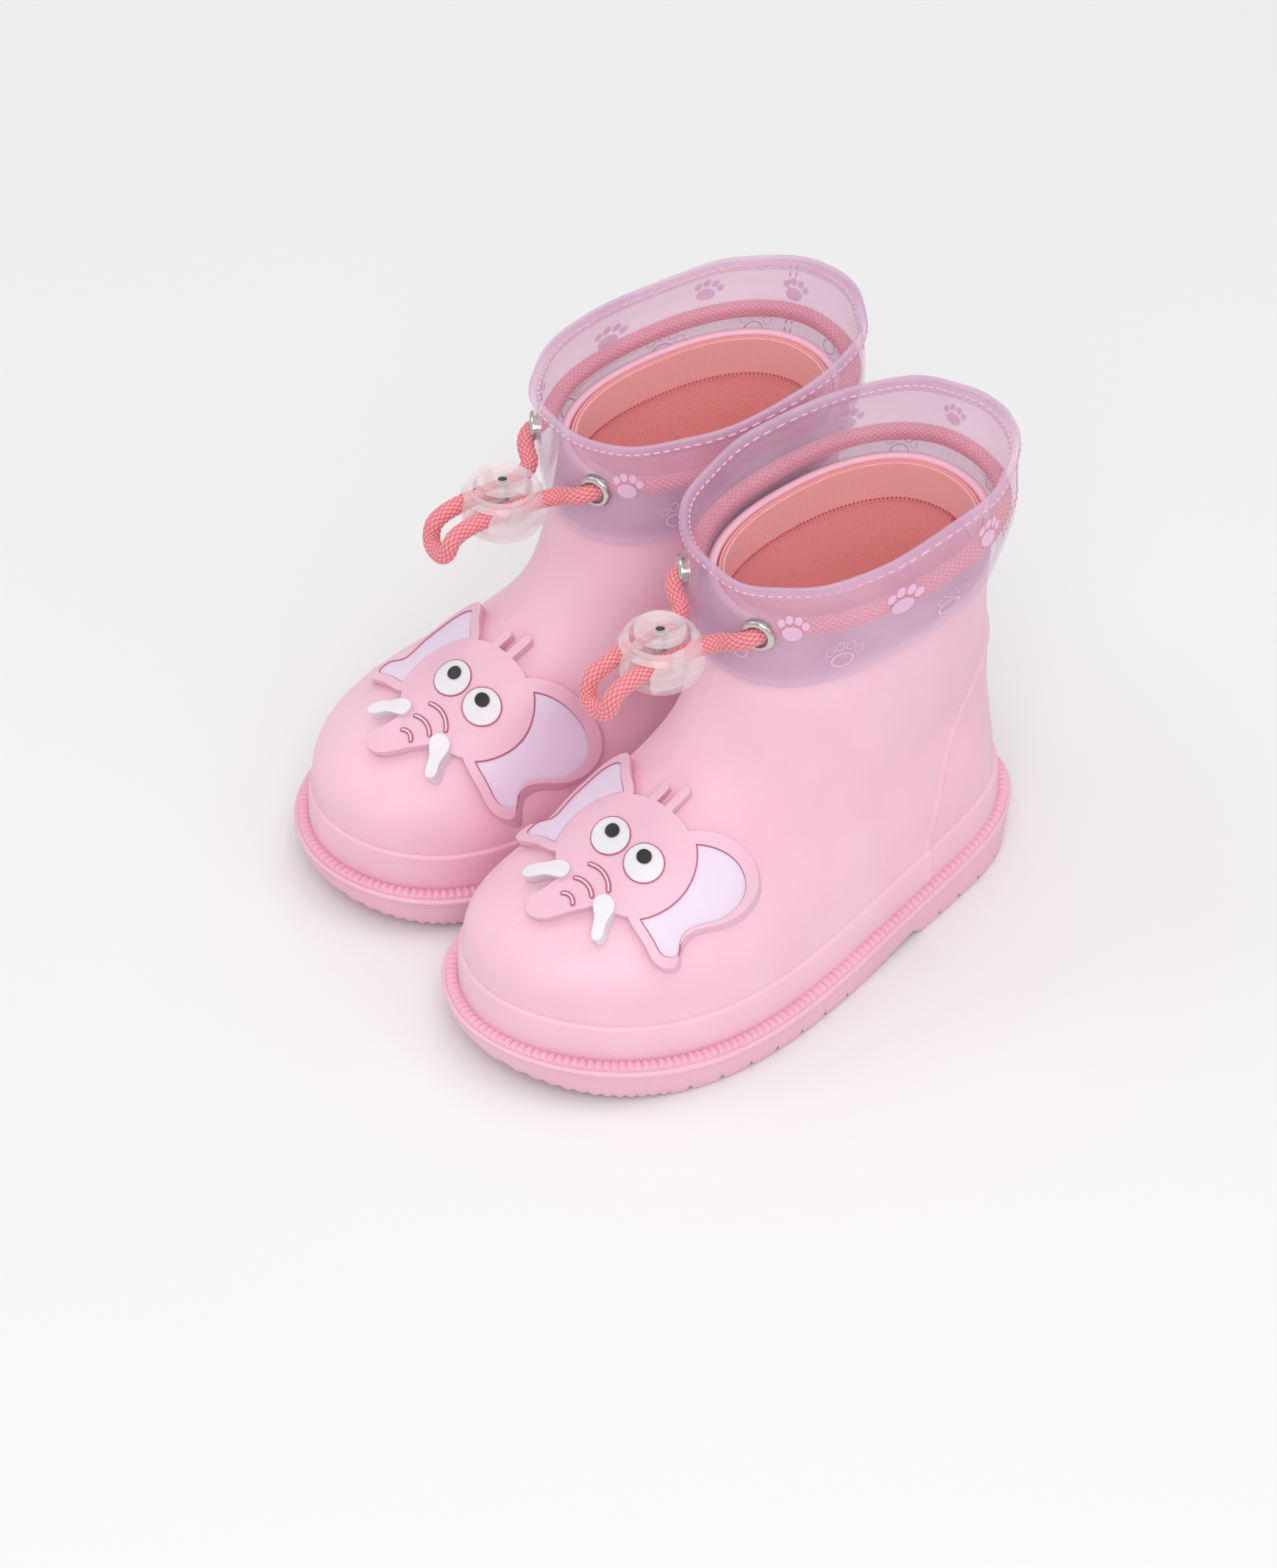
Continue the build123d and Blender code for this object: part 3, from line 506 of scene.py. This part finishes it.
def make_outsole(prefix, side, material):
    """Side wall with a rolled lip, a stepped and grooved underside, and a top that closes it."""
    shares = np.array([0, 0.02, 0.06, 0.3, 0.6, 0.82, 0.88, 0.93, 0.97, 1.0])
    insets = np.array([0.5, 0.2, 0, 0, 0, 0, -0.25, -0.3, -0.1, 0.5])
    rings = []
    for share, extra in zip(shares, insets):
        outline = sole_outline(1.35 * (1 - share) + extra, 1400)
        bottom, top = sole_bottom(outline[:, 1]), lip_height(outline[:, 1])
        rings.append(np.concatenate([outline, (bottom + (top - bottom) * share)[:, None]], axis=1))
    wall = np.array(rings)
    under, over = crossing_grid(wall[0], sole_bottom), crossing_grid(wall[-1], lip_height)
    vertices, faces = [], []
    for grid, wrap, flip in ((wall, True, False), (under, False, True), (over, False, False)):
        faces += grid_faces(*grid.shape[:2], wrap, len(vertices), flip != (side < 0))
        vertices.extend(to_world(mirrored(grid, side).reshape(-1, 3), side))
    piece = link_mesh(prefix + "outsole_mesh", vertices, faces, material)
    finish_piece(piece, prefix + "boot", prefix + "outsole")


def make_welt(prefix, side, material):
    """Ribbed strip round the foot of the upper."""
    count = 2100
    outline = sole_outline(0.8, count)
    around = np.roll(outline, -1, axis=0) - np.roll(outline, 1, axis=0)
    normal = np.stack([around[:, 1], -around[:, 0]], -1)
    normal /= np.linalg.norm(normal, axis=1, keepdims=True)
    centre = outline.mean(axis=0)
    normal *= np.sign(np.sum(normal * (outline - centre), axis=1, keepdims=True))
    steps = np.linalg.norm(np.diff(outline, axis=0, append=outline[:1]), axis=1)
    place = np.concatenate([[0], np.cumsum(steps)[:-1]])
    pitch = steps.sum() / round(steps.sum() / 2.0)
    rib = np.abs(np.cos(math.pi * place / pitch)) ** 0.6
    rows = []
    for share in np.linspace(0, 1, 12):
        angle = math.pi * share
        inward = 1.75 * (1 - math.cos(angle))
        lift = (0.35 + 1.5 * math.sin(angle) ** 0.6) * (0.5 + 0.5 * rib)
        flat = outline - normal * inward
        rows.append(np.concatenate([flat, (lip_height(flat[:, 1]) - 0.35 + lift)[:, None]], axis=1))
    piece = surface(prefix + "welt_mesh", mirrored(np.array(rows), side), side, material)
    finish_piece(piece, prefix + "boot", prefix + "welt")


def finish_piece(piece, body, node_name):
    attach(piece, body)
    if node_name:
        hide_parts(*([node_name] if isinstance(node_name, str) else node_name))


# Upper

RIDGE = ((77, 96), (72, 84), (65, 72), (57, 60), (50, 48), (44.5, 36), (41, 26), (39.5, 14))
RIDGE_HEIGHT = 0.6
RIDGE_WIDTH = 0.7


def ridge_relief(grid):
    """Raised line of the heel counter, seen from the side."""
    line = np.array(RIDGE, float)
    at = natural_spline(line[::-1, 1], line[::-1, 0], np.clip(grid[..., 2], 14, 96))
    slope = np.gradient(natural_spline(line[::-1, 1], line[::-1, 0], np.arange(14, 97.0)))
    lean = np.interp(grid[..., 2], np.arange(14, 97.0), np.sqrt(1 + slope ** 2))
    distance = (grid[..., 1] - at) / lean
    inside = (grid[..., 2] > 14) & (grid[..., 2] < 96)
    return np.where(inside, RIDGE_HEIGHT * np.exp(-(distance / RIDGE_WIDTH) ** 2), 0)


def make_shell(prefix, side, material):
    """Moulded upper: foxing band with a crisp edge, heel counter line and rolled top edge."""
    outer = upper_table(0)
    low = height_where(outer, lip_height, 15)
    high = height_where(outer, topline_height, 108)
    above_lip = np.array([0, 1, 3, 5, 7, 9, 10.2, 10.6, 10.8, 10.95, 11.08, 11.18, 11.25, 11.3, 11.34, 11.5, 12.0])
    shares = np.linspace(0, 1, 230)[1:]
    heights = np.concatenate([low + above_lip[:, None], (low + 12) + (high - 0.9 - low - 12) * shares[:, None]])
    grid = upper_at(outer, heights)
    normal = grid_normals(grid)
    drop = np.clip((above_lip - (FOXING_TOP - 0.7)) / 0.7, 0, 1)
    proud = np.where(above_lip < FOXING_TOP + 0.02, FOXING_PROUD * np.sqrt(np.clip(1 - drop ** 2, 0, 1)), 0)
    proud = np.concatenate([proud, np.zeros(len(shares))])[:, None]
    groove = np.concatenate([-0.15 * np.exp(-((above_lip - FOXING_TOP - 0.1) / 0.15) ** 2), np.zeros(len(shares))])
    front = (grid[..., 1] < 0) & (grid[..., 2] > 24)
    mould_line = np.where(front, 0.14 * np.exp(-(grid[..., 0] / 0.35) ** 2), 0)
    relief = proud + groove[:, None] + ridge_relief(grid) + mould_line
    flat_normal = normal * np.array([1, 1, 0.3])
    grid = grid + flat_normal * relief[..., None]
    inner = upper_table(-SHELL_WALL)
    rim_heights = height_where(inner, topline_height, 108)
    edge_outer = upper_at(outer, (high - 0.9)[None])[0]
    edge_inner = upper_at(inner, (rim_heights - 0.9)[None])[0]
    rim = []
    for angle in np.linspace(0, math.pi, 9)[1:]:
        share = (1 - math.cos(angle)) / 2
        ring = edge_outer * (1 - share) + edge_inner * share
        ring[:, 2] += 0.9 * math.sin(angle)
        rim.append(ring)
    for depth in (2.0, 6.0, 12.0):
        rim.append(upper_at(inner, (rim_heights - depth)[None])[0])
    grid = np.concatenate([grid, np.array(rim)])
    piece = surface(prefix + "shell_mesh", mirrored(grid, side), side, material)
    finish_piece(piece, prefix + "boot", prefix + "shell")


def make_lining(prefix, side, name, grow, top_drop, bottom, material):
    """A sleeve of knitted cloth inside the shell, with a turned edge."""
    table = upper_table(-grow)
    back_table = upper_table(-grow + 0.7)
    high = height_where(table, lambda y: topline_height(y) - top_drop, 106)
    low = bottom(table)
    shares = np.linspace(0, 1, 120)
    heights = (high - 0.4) + (low - high + 0.4) * shares[:, None]
    grid = upper_at(table, heights)
    edge = upper_at(back_table, (high - 0.4)[None])[0]
    lip = [upper_at(back_table, (high - 4.0)[None])[0], edge]
    for angle in (0.25 * math.pi, 0.5 * math.pi, 0.75 * math.pi):
        share = (1 - math.cos(angle)) / 2
        ring = edge * (1 - share) + grid[0] * share
        ring[:, 2] += 0.4 * math.sin(angle)
        lip.append(ring)
    grid = np.concatenate([np.array(lip), grid])
    piece = surface(prefix + name + "_mesh", mirrored(grid, side), side, material, flip=True)
    round_way = np.tile(np.linspace(0, 226, grid.shape[1]), (grid.shape[0], 1))
    down = np.concatenate([[0], np.cumsum(np.linalg.norm(np.diff(grid, axis=0), axis=-1).mean(axis=1))])
    add_grid_uv(piece, np.stack([round_way, np.tile(down[:, None], (1, grid.shape[1]))], -1).reshape(-1, 2))
    finish_piece(piece, prefix + "boot", prefix + name)


# Film cuff

OUTER_RINGS = ((31.0, 40.1, 28.5, 97.9, 6.1), (31.3, 41.6, 30.2, 105.0, 5.0), (31.8, 42.9, 31.4, 112.2, 4.2),
               (31.8, 42.9, 31.4, 116.0, 4.2), (31.7, 42.8, 30.6, 121.5, 4.4), (31.5, 43.6, 30.1, 128.3, 4.8))
INNER_RINGS = ((31.0, 39.5, 27.9, 97.9, 6.1), (31.7, 39.2, 28.3, 104.5, 4.8), (32.0, 38.7, 28.0, 111.3, 3.9),
               (31.8, 37.3, 25.7, 113.2, 3.9), (31.8, 37.4, 25.8, 116.0, 3.9), (31.7, 40.2, 28.3, 121.5, 4.3),
               (31.5, 43.0, 29.5, 128.3, 4.8))
PLY = 0.5
SEAM_ANGLE = math.pi * 0.16


def ring_point(values, angle, inset):
    """Points on a cuff ring at angles from its heel end, for values read between the rings."""
    centre, half_length, half_width, height, rise = (values[..., i] for i in range(5))
    sine, cosine = np.sin(angle), np.cos(angle)
    x = np.sign(sine) * np.abs(sine) ** (2 / 2.3) * (half_width - inset)
    y = np.sign(cosine) * np.abs(cosine) ** (2 / 2.3) * (half_length - inset)
    return np.stack([x, centre + y, height + rise * y / half_length], -1)


def film_point(rings, angle, share, inset=0.0):
    """A point of a ply at an angle round it and a share of its height, with the film's slow waves."""
    rings = np.array(rings)
    place = (rings[:, 3] - rings[0, 3]) / (rings[-1, 3] - rings[0, 3])
    values = np.stack([np.interp(share, place, rings[:, i]) for i in range(5)], -1)
    wave = np.sin(3 * angle + 1.1) * 0.5 + np.sin(7 * angle + 0.4) * 0.3 + np.sin(11 * angle + 2.0) * 0.2
    loose = np.clip((share - 0.55) / 0.45, 0, 1)
    return ring_point(values, angle, inset - wave * loose)


def make_film(prefix, side, name, rings, material):
    count = 360
    angles = np.linspace(0, 2 * math.pi, count, endpoint=False)
    shares = np.concatenate([np.linspace(0, 0.06, 5), np.linspace(0.07, 0.915, 50), np.linspace(0.925, 1, 8)])
    angle, share = np.meshgrid(angles, shares)
    fold = np.clip((share - 0.915) / 0.012, 0, 1) + np.clip((0.06 - share) / 0.012, 0, 1)
    outside = film_point(rings, angle, share, -0.22 * fold)
    inside = film_point(rings, angle, share, PLY)[::-1]
    edge = (outside[-1:] + inside[:1]) / 2 + np.array([0, 0, 0.22])
    bottom = (outside[:1] + inside[-1:]) / 2 - np.array([0, 0, 0.22])
    grid = np.concatenate([bottom, outside, edge, inside])
    piece = surface(prefix + name + "_mesh", mirrored(grid, side), side, material, flip=True, closed=True)
    finish_piece(piece, prefix + "boot", prefix + name)


def make_rim_band(prefix, side, material):
    """The folded edge of the cuff: both plies turned over at the rim."""
    angles = np.linspace(0, 2 * math.pi, 360, endpoint=False)
    rows = [(INNER_RINGS, 0.905, 0.56), (INNER_RINGS, 0.91, 0.72), (INNER_RINGS, 0.995, 0.72)]
    grid = [film_point(rings, angles, np.full_like(angles, share), inset) for rings, share, inset in rows]
    top = film_point(OUTER_RINGS, angles, np.ones_like(angles), 0.3)
    top[:, 2] += 0.4
    grid.append(top)
    rows = [(OUTER_RINGS, 0.995, -0.3), (OUTER_RINGS, 0.91, -0.3), (OUTER_RINGS, 0.905, -0.1)]
    grid += [film_point(rings, angles, np.full_like(angles, share), inset) for rings, share, inset in rows]
    piece = surface(prefix + "rim_band", mirrored(np.array(grid), side), side, material)
    finish_piece(piece, prefix + "boot", None)


def capsule_row(points_a, points_b, radius, name, side, material):
    """Short round threads between pairs of points."""
    vertices, faces = [], []
    for a, b in zip(points_a, points_b):
        a, b = np.asarray(a, float), np.asarray(b, float)
        along = (b - a) / max(np.linalg.norm(b - a), 1e-9)
        up = np.cross(along, [0.3, 0.2, 0.9])
        up /= np.linalg.norm(up)
        other = np.cross(along, up)
        base = len(vertices)
        for share, wide in ((0, 0.35), (0.12, 0.85), (0.35, 1), (0.65, 1), (0.88, 0.85), (1, 0.35)):
            centre = a + (b - a) * share
            for k in range(6):
                t = k * math.pi / 3
                vertices.append(centre + (up * math.cos(t) + other * math.sin(t)) * radius * wide)
        faces += grid_faces(6, 6, True, base)
        faces.append(tuple(base + k for k in range(6))[::-1])
        faces.append(tuple(base + 30 + k for k in range(6)))
    return link_mesh(name, to_world(np.array(vertices), side), faces, material)


def make_cuff_threads(prefix, side, material):
    """Stitches in the folded rim, outside and inside, and down the rear seam."""
    starts, ends = [], []
    count = 96
    for rings, inset in ((OUTER_RINGS, -0.36), (INNER_RINGS, 0.8)):
        for index in range(count):
            first = 2 * math.pi * index / count
            last = first + 2 * math.pi / count * 0.66
            for angle, bucket in ((first, starts), (last, ends)):
                point = film_point(rings, np.array(angle), np.array(0.945), inset)
                bucket.append(mirrored(point, side))
    for offset in (0.0, 0.05):
        for index in range(11):
            low = 0.08 + 0.08 * index
            for share, bucket in ((low, starts), (low + 0.05, ends)):
                point = film_point(OUTER_RINGS, np.array(SEAM_ANGLE + offset), np.array(share), -0.1)
                bucket.append(mirrored(point, side))
    piece = capsule_row(starts, ends, 0.24, prefix + "cuff_stitches", side, material)
    finish_piece(piece, prefix + "boot", None)


def make_lining_stitches(prefix, side, material):
    """The seam that holds the facing, with one loose end of thread at the heel."""
    table = upper_table(-4.3, 168)
    ring = upper_at(table, height_where(table, lambda y: topline_height(y) - 11.3, 94)[None])[0]
    after = np.roll(ring, -1, axis=0)
    starts, ends = list(mirrored(ring, side)), list(mirrored(ring + (after - ring) * 0.62, side))
    loose = ((0, -0.2, 0), (0.8, -0.9, -1.6), (1.2, -1.0, -3.4), (2.4, -1.1, -4.6))
    tail = [ring[84] + np.array(step) for step in loose]
    for first, last in zip(tail, tail[1:]):
        starts.append(mirrored(first, side))
        ends.append(mirrored(last, side))
    piece = capsule_row(starts, ends, 0.3, prefix + "lining_stitches", side, material)
    finish_piece(piece, prefix + "boot", None)


PAWS = ((1.15, 0.70, 0.95, 0.35), (1.72, 0.60, 1.0, 0.25), (2.44, 0.60, 1.05, 0.15), (0.5, 0.66, 1.0, 0.2),
        (-0.3, 0.68, 0.9, -0.2), (-1.1, 0.64, 1.0, -0.2), (-1.75, 0.68, 0.95, 0.1), (-2.44, 0.60, 1.05, -0.15))
PAW_LINES = ((1.42, 0.28, 1.1, 0.3), (2.08, 0.26, 1.15, 0.1), (2.86, 0.34, 1.0, -0.2), (0.8, 0.3, 1.1, 0.1),
             (0.1, 0.3, 1.0, 0.3), (-0.7, 0.3, 1.1, -0.2), (-1.4, 0.28, 1.1, 0.2), (-2.08, 0.26, 1.15, -0.1))
PAW_PADS = ((0, -1.2, 2.5, 2.0), (-3.0, 1.3, 0.95, 1.2), (-1.15, 2.6, 0.95, 1.25), (1.15, 2.6, 0.95, 1.25),
            (3.0, 1.3, 0.95, 1.2))


def paw_vertex(angle, share, across, up):
    """A point of a print, at across and up millimetres from its place on the outer ply."""
    return film_point(OUTER_RINGS, np.array(angle + across / 36.0), np.array(share + up / 30.4), -0.04)


def make_paws(prefix, side, filled, lines):
    """Paw prints on the film: filled ones in a row, and outlines below them."""
    for name, material, prints, inner in (("paws", filled, PAWS, 0.0), ("paw_lines", lines, PAW_LINES, 0.82)):
        vertices, faces = [], []
        rings = np.linspace(inner, 1, 2 if inner else 4)
        for angle, share, size, turn in prints:
            for x, y, wide, tall in PAW_PADS:
                base = len(vertices)
                for ring in rings:
                    for k in range(20):
                        t = 2 * math.pi * k / 20
                        px = (x + wide * ring * math.cos(t)) * size
                        py = (y + tall * ring * math.sin(t)) * size
                        qx = px * math.cos(turn) - py * math.sin(turn)
                        qy = px * math.sin(turn) + py * math.cos(turn)
                        vertices.append(mirrored(paw_vertex(angle, share, qx, qy), side))
                faces += grid_faces(len(rings), 20, True, base)
        piece = link_mesh(prefix + name, to_world(np.array(vertices), side), faces, material)
        finish_piece(piece, prefix + "boot", None)


# Drawstring

CORD_DIAMETER = 4.6
BRAID_STRANDS = 5
BRAID_LAY = 18.0
CHANNEL = (31.8, 39.95, 28.45, 114.1, 4.0)
CHANNEL_FRONT_ANGLE = math.radians(48.0)
STRAND_START = (14.98, -7.6, 109.5)
STRAND = (STRAND_START, (14.6, -11.6, 108.7), (4.4, -13.2, 103.8), (4.4, -41.3, 103.8))
LOOP = ((4.7, -44.1, 95.4), (-4.7, -43.8, 94.6))


def front_route():
    back = [(-x, y, z) for x, y, z in reversed(STRAND)]
    return list(STRAND) + list(LOOP) + back


def channel_route():
    first = math.pi - CHANNEL_FRONT_ANGLE
    points = []
    for index in range(23):
        angle = np.array(first - 2 * first * index / 22)
        points.append(tuple(float(v) for v in ring_point(np.array(CHANNEL), angle, 0)))
    ends = [STRAND_START, (15.3, -4.1, 110.2)]
    return ends + points + [(-x, y, z) for x, y, z in reversed(ends)]


def nurbs_line(name, points):
    """An open NURBS curve with these points in metres."""
    data = bpy.data.curves.new(name, "CURVE")
    data.dimensions = "3D"
    data.resolution_u = 24
    spline = data.splines.new("NURBS")
    spline.points.add(len(points) - 1)
    for target, point in zip(spline.points, points):
        target.co = (*point, 1)
    spline.order_u = 3
    spline.use_endpoint_u = True
    return bpy.data.objects.new(name, data)


def line_points(curve, step):
    """Points along a curve, evenly spaced by about step metres."""
    bpy.context.scene.collection.objects.link(curve)
    bpy.context.view_layer.update()
    mesh = bpy.data.meshes.new_from_object(curve.evaluated_get(bpy.context.evaluated_depsgraph_get()))
    raw = np.array([tuple(v.co) for v in mesh.vertices])
    bpy.data.meshes.remove(mesh)
    bpy.data.objects.remove(curve)
    place = np.concatenate([[0], np.cumsum(np.linalg.norm(np.diff(raw, axis=0), axis=1))])
    keep = np.concatenate([[True], np.diff(place) > 1e-9])
    raw, place = raw[keep], place[keep]
    count = max(int(place[-1] / step), 8)
    at = np.linspace(0, place[-1], count)
    return np.stack([np.interp(at, place, raw[:, i]) for i in range(3)], -1), place[-1]


def braid(points, name, material):
    """A braided cord along points in metres: strands that cross in two directions."""
    around = 80
    count = len(points)
    tangent = np.gradient(points, axis=0)
    tangent /= np.linalg.norm(tangent, axis=1, keepdims=True)
    normal = np.zeros_like(points)
    start = np.cross(tangent[0], [0.1, 0.2, 1.0])
    normal[0] = start / np.linalg.norm(start)
    for i in range(1, count):
        carried = normal[i - 1] - tangent[i] * np.dot(normal[i - 1], tangent[i])
        normal[i] = carried / np.linalg.norm(carried)
    binormal = np.cross(tangent, normal)
    step = np.linalg.norm(np.diff(points, axis=0), axis=1)
    place = np.concatenate([[0], np.cumsum(step)]) / MM
    angle = np.linspace(0, 2 * math.pi, around, endpoint=False)
    turn = 2 * math.pi * place[:, None] / BRAID_LAY
    left, right = BRAID_STRANDS * (angle[None] + turn), BRAID_STRANDS * (angle[None] - turn)
    over = (np.floor(left / math.pi) + np.floor(right / math.pi)) % 2 == 0
    across, along = np.where(over, left, right), np.where(over, right, left)
    yarns = 0.12 * np.sin(3 * across) ** 2
    relief = np.abs(np.sin(across)) ** 0.5 * (0.55 + 0.45 * np.abs(np.sin(along))) - yarns
    radius = (CORD_DIAMETER / 2 * (0.81 + 0.19 * relief)) * MM
    ring = normal[:, None] * np.cos(angle)[None, :, None] + binormal[:, None] * np.sin(angle)[None, :, None]
    vertices = points[:, None] + ring * radius[..., None]
    faces = grid_faces(count, around, True)
    faces.append(tuple(range(around)))
    faces.append(tuple((count - 1) * around + k for k in range(around))[::-1])
    piece = link_mesh(name, vertices.reshape(-1, 3), faces, material)
    # the relief is stored for the cord material, which paints shade and highlight from it
    relief_for_shading = piece.data.attributes.new("relief", "FLOAT", "POINT")
    relief_for_shading.data.foreach_set("value", relief.ravel().astype(np.float32))
    return piece


def make_cords(prefix, side, material):
    front = to_world(np.array(front_route()), side)
    points, length = line_points(nurbs_line(prefix + "front_line", front), 0.00028)
    piece = braid(points, prefix + "front_cord", material)
    finish_piece(piece, prefix + "boot", prefix + "drawstring_front")
    held = to_world(np.array(channel_route()), side)
    points, _ = line_points(nurbs_line(prefix + "channel_line", held), 0.00035)
    piece = braid(points, prefix + "channel_cord", material)
    finish_piece(piece, prefix + "boot", prefix + "drawstring")


# Carried-over CAD pieces

LOCK_Y = -25.1
MOTIF_NORMAL = (0.299, -0.451, 0.841)


def dress(name, material):
    """A CAD node with a material of its own."""
    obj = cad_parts[name]
    obj.data.materials.clear()
    obj.data.materials.append(material)
    for polygon in obj.data.polygons:
        polygon.material_index = 0


def rim_loops(obj, up):
    """Closed lines round the faces of a CAD node that look up, as lists of points in metres."""
    mesh = obj.data
    places = [obj.matrix_world @ vertex.co for vertex in mesh.vertices]
    key = [tuple(round(v, 6) for v in place) for place in places]
    shared = {}
    for polygon in mesh.polygons:
        top = (obj.matrix_world.to_3x3() @ polygon.normal).normalized().dot(up) > 0.45
        for a, b in polygon.edge_keys:
            shared.setdefault(frozenset((key[a], key[b])), []).append(top)
    after = {}
    for edge, tops in shared.items():
        if len(edge) == 2 and any(tops) and not all(tops):
            first, last = edge
            after.setdefault(first, []).append(last)
            after.setdefault(last, []).append(first)
    loops = []
    while after:
        start = place = next(iter(after))
        loop = [start]
        while after.get(place):
            following = after[place].pop()
            after[following].remove(place)
            if following == start:
                break
            place = following
            loop.append(place)
        after = {point: others for point, others in after.items() if others}
        if len(loop) > 6:
            loops.append(np.array(loop))
    return loops


def make_motif_lines(prefix, side, material):
    """Deeper pink tubes in the gaps round the inlays, the eyes and the wrinkles, as painted shade in those gaps."""
    up = to_world(np.array([MOTIF_NORMAL, (0, 0, 0)]), side)
    up = Vector(up[0] - up[1]).normalized()
    vertices, faces = [], []
    for name, sink, radius in (("motif_ear_inlays", -0.05, 0.3), ("motif_eyes", 0.3, 0.34),
                               ("motif_trunk_wrinkles", 0.22, 0.3)):
        for loop in rim_loops(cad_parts[prefix + name], up):
            closed = np.concatenate([loop, loop[:1]])
            place = np.concatenate([[0], np.cumsum(np.linalg.norm(np.diff(closed, axis=0), axis=1))])
            at = np.linspace(0, place[-1], max(int(place[-1] / 0.0004), 12), endpoint=False)
            line = np.stack([np.interp(at, place, closed[:, i]) for i in range(3)], -1) - np.array(up) * sink * MM
            along = np.roll(line, -1, axis=0) - np.roll(line, 1, axis=0)
            along /= np.linalg.norm(along, axis=1, keepdims=True)
            out = np.cross(along, np.array(up))
            rows = [line + (out * math.cos(t) + np.array(up) * math.sin(t)) * radius * MM
                    for t in np.linspace(0, 2 * math.pi, 7)]
            faces += grid_faces(7, len(line), True, len(vertices))
            vertices.extend(np.concatenate(rows))
    piece = link_mesh(prefix + "motif_lines", vertices, faces, material)
    finish_piece(piece, prefix + "boot", None)


def make_spring_end(prefix, side, material):
    """The end of the spring, seen in the button's hole, coloured dark as painted shade in the hole."""
    rows = []
    for radius, height in ((1.15, 109.7), (1.2, 110.0), (1.05, 110.15), (0.6, 110.1), (0.01, 110.0)):
        angles = np.linspace(0, 2 * math.pi, 28, endpoint=False)
        rows.append(np.stack([radius * np.cos(angles), LOCK_Y + radius * np.sin(angles),
                              np.full(28, height)], -1))
    piece = surface(prefix + "spring_end", mirrored(np.array(rows), side), side, material)
    finish_piece(piece, prefix + "lock_button", None)


# Stage


def make_stage():
    size = 6.0
    floor_material, shader = principled("floor", srgb(236, 236, 237), 0.9)
    floor = link_mesh("floor", [(-size, -size, -0.0002), (size, -size, -0.0002), (size, size, -0.0002),
                                (-size, size, -0.0002)], [(0, 1, 2, 3)], floor_material, smooth=False)
    world = bpy.data.worlds.new("studio")
    world.use_nodes = True
    world.node_tree.nodes["Background"].inputs["Color"].default_value = (1.0, 0.995, 0.99, 1)
    world.node_tree.nodes["Background"].inputs["Strength"].default_value = 0.61
    bpy.context.scene.world = world
    bpy.context.scene.view_settings.view_transform = "Standard"
    for name, place, size, power in (("front", (1.02, -0.68, 1.28), 0.9, 9.5), ("key", (-0.9, -0.9, 1.6), 1.0, 3.5),
                                     ("fill", (1.5, 0.6, 1.2), 1.4, 3), ("top", (0.0, 0.2, 2.0), 1.6, 9)):
        data = bpy.data.lights.new(name, "AREA")
        data.energy = power
        data.size = size
        lamp = bpy.data.objects.new(name, data)
        lamp.location = place
        lamp.rotation_mode = "QUATERNION"
        lamp.rotation_quaternion = (Vector((0, 0, 0.06)) - Vector(place)).to_track_quat("-Z", "Y")
        bpy.context.scene.collection.objects.link(lamp)


DRESSED = {"insole": "insole", "motif_patch": "motif", "motif_ear_inlays": "lilac", "motif_eyes": "white",
           "motif_pupils": "black", "motif_tusks": "white", "motif_trunk_wrinkles": "white", "eyelets": "nickel",
           "eyelet_washers": "nickel", "cord_lock_body": "clear", "cord_lock_button": "clear",
           "cord_lock_spring": "steel"}


def lining_floor(table):
    return height_where(table, lambda y: lip_height(y) + 3.2, 15)


def facing_bottom(table):
    return height_where(table, lambda y: topline_height(y) - 12.0, 94)


def make_boot(prefix, side, materials):
    make_cords(prefix, side, materials["cord"])
    make_outsole(prefix, side, materials["outsole"])
    make_welt(prefix, side, materials["welt"])
    make_shell(prefix, side, materials["shell"])
    make_lining(prefix, side, "lining", 3.3, 0.6, lining_floor, materials["lining"])
    make_lining(prefix, side, "lining_facing", 4.1, 0.6, facing_bottom, materials["facing"])
    make_film(prefix, side, "cuff_outer_ply", OUTER_RINGS, materials["film"])
    make_film(prefix, side, "cuff_inner_ply", INNER_RINGS, materials["film"])
    make_rim_band(prefix, side, materials["rim"])
    make_cuff_threads(prefix, side, materials["thread"])
    make_lining_stitches(prefix, side, materials["seam"])
    make_paws(prefix, side, materials["paw"], materials["paw_line"])
    for name, kind in DRESSED.items():
        dress(prefix + name, materials[kind])
    make_motif_lines(prefix, side, materials["line"])
    make_spring_end(prefix, side, materials["dark_steel"])


make_camera()
MATERIALS = make_materials()
for boot_prefix, boot_side in SIDES.items():
    make_boot(boot_prefix, boot_side, MATERIALS)
make_stage()
bpy.context.view_layer.update()
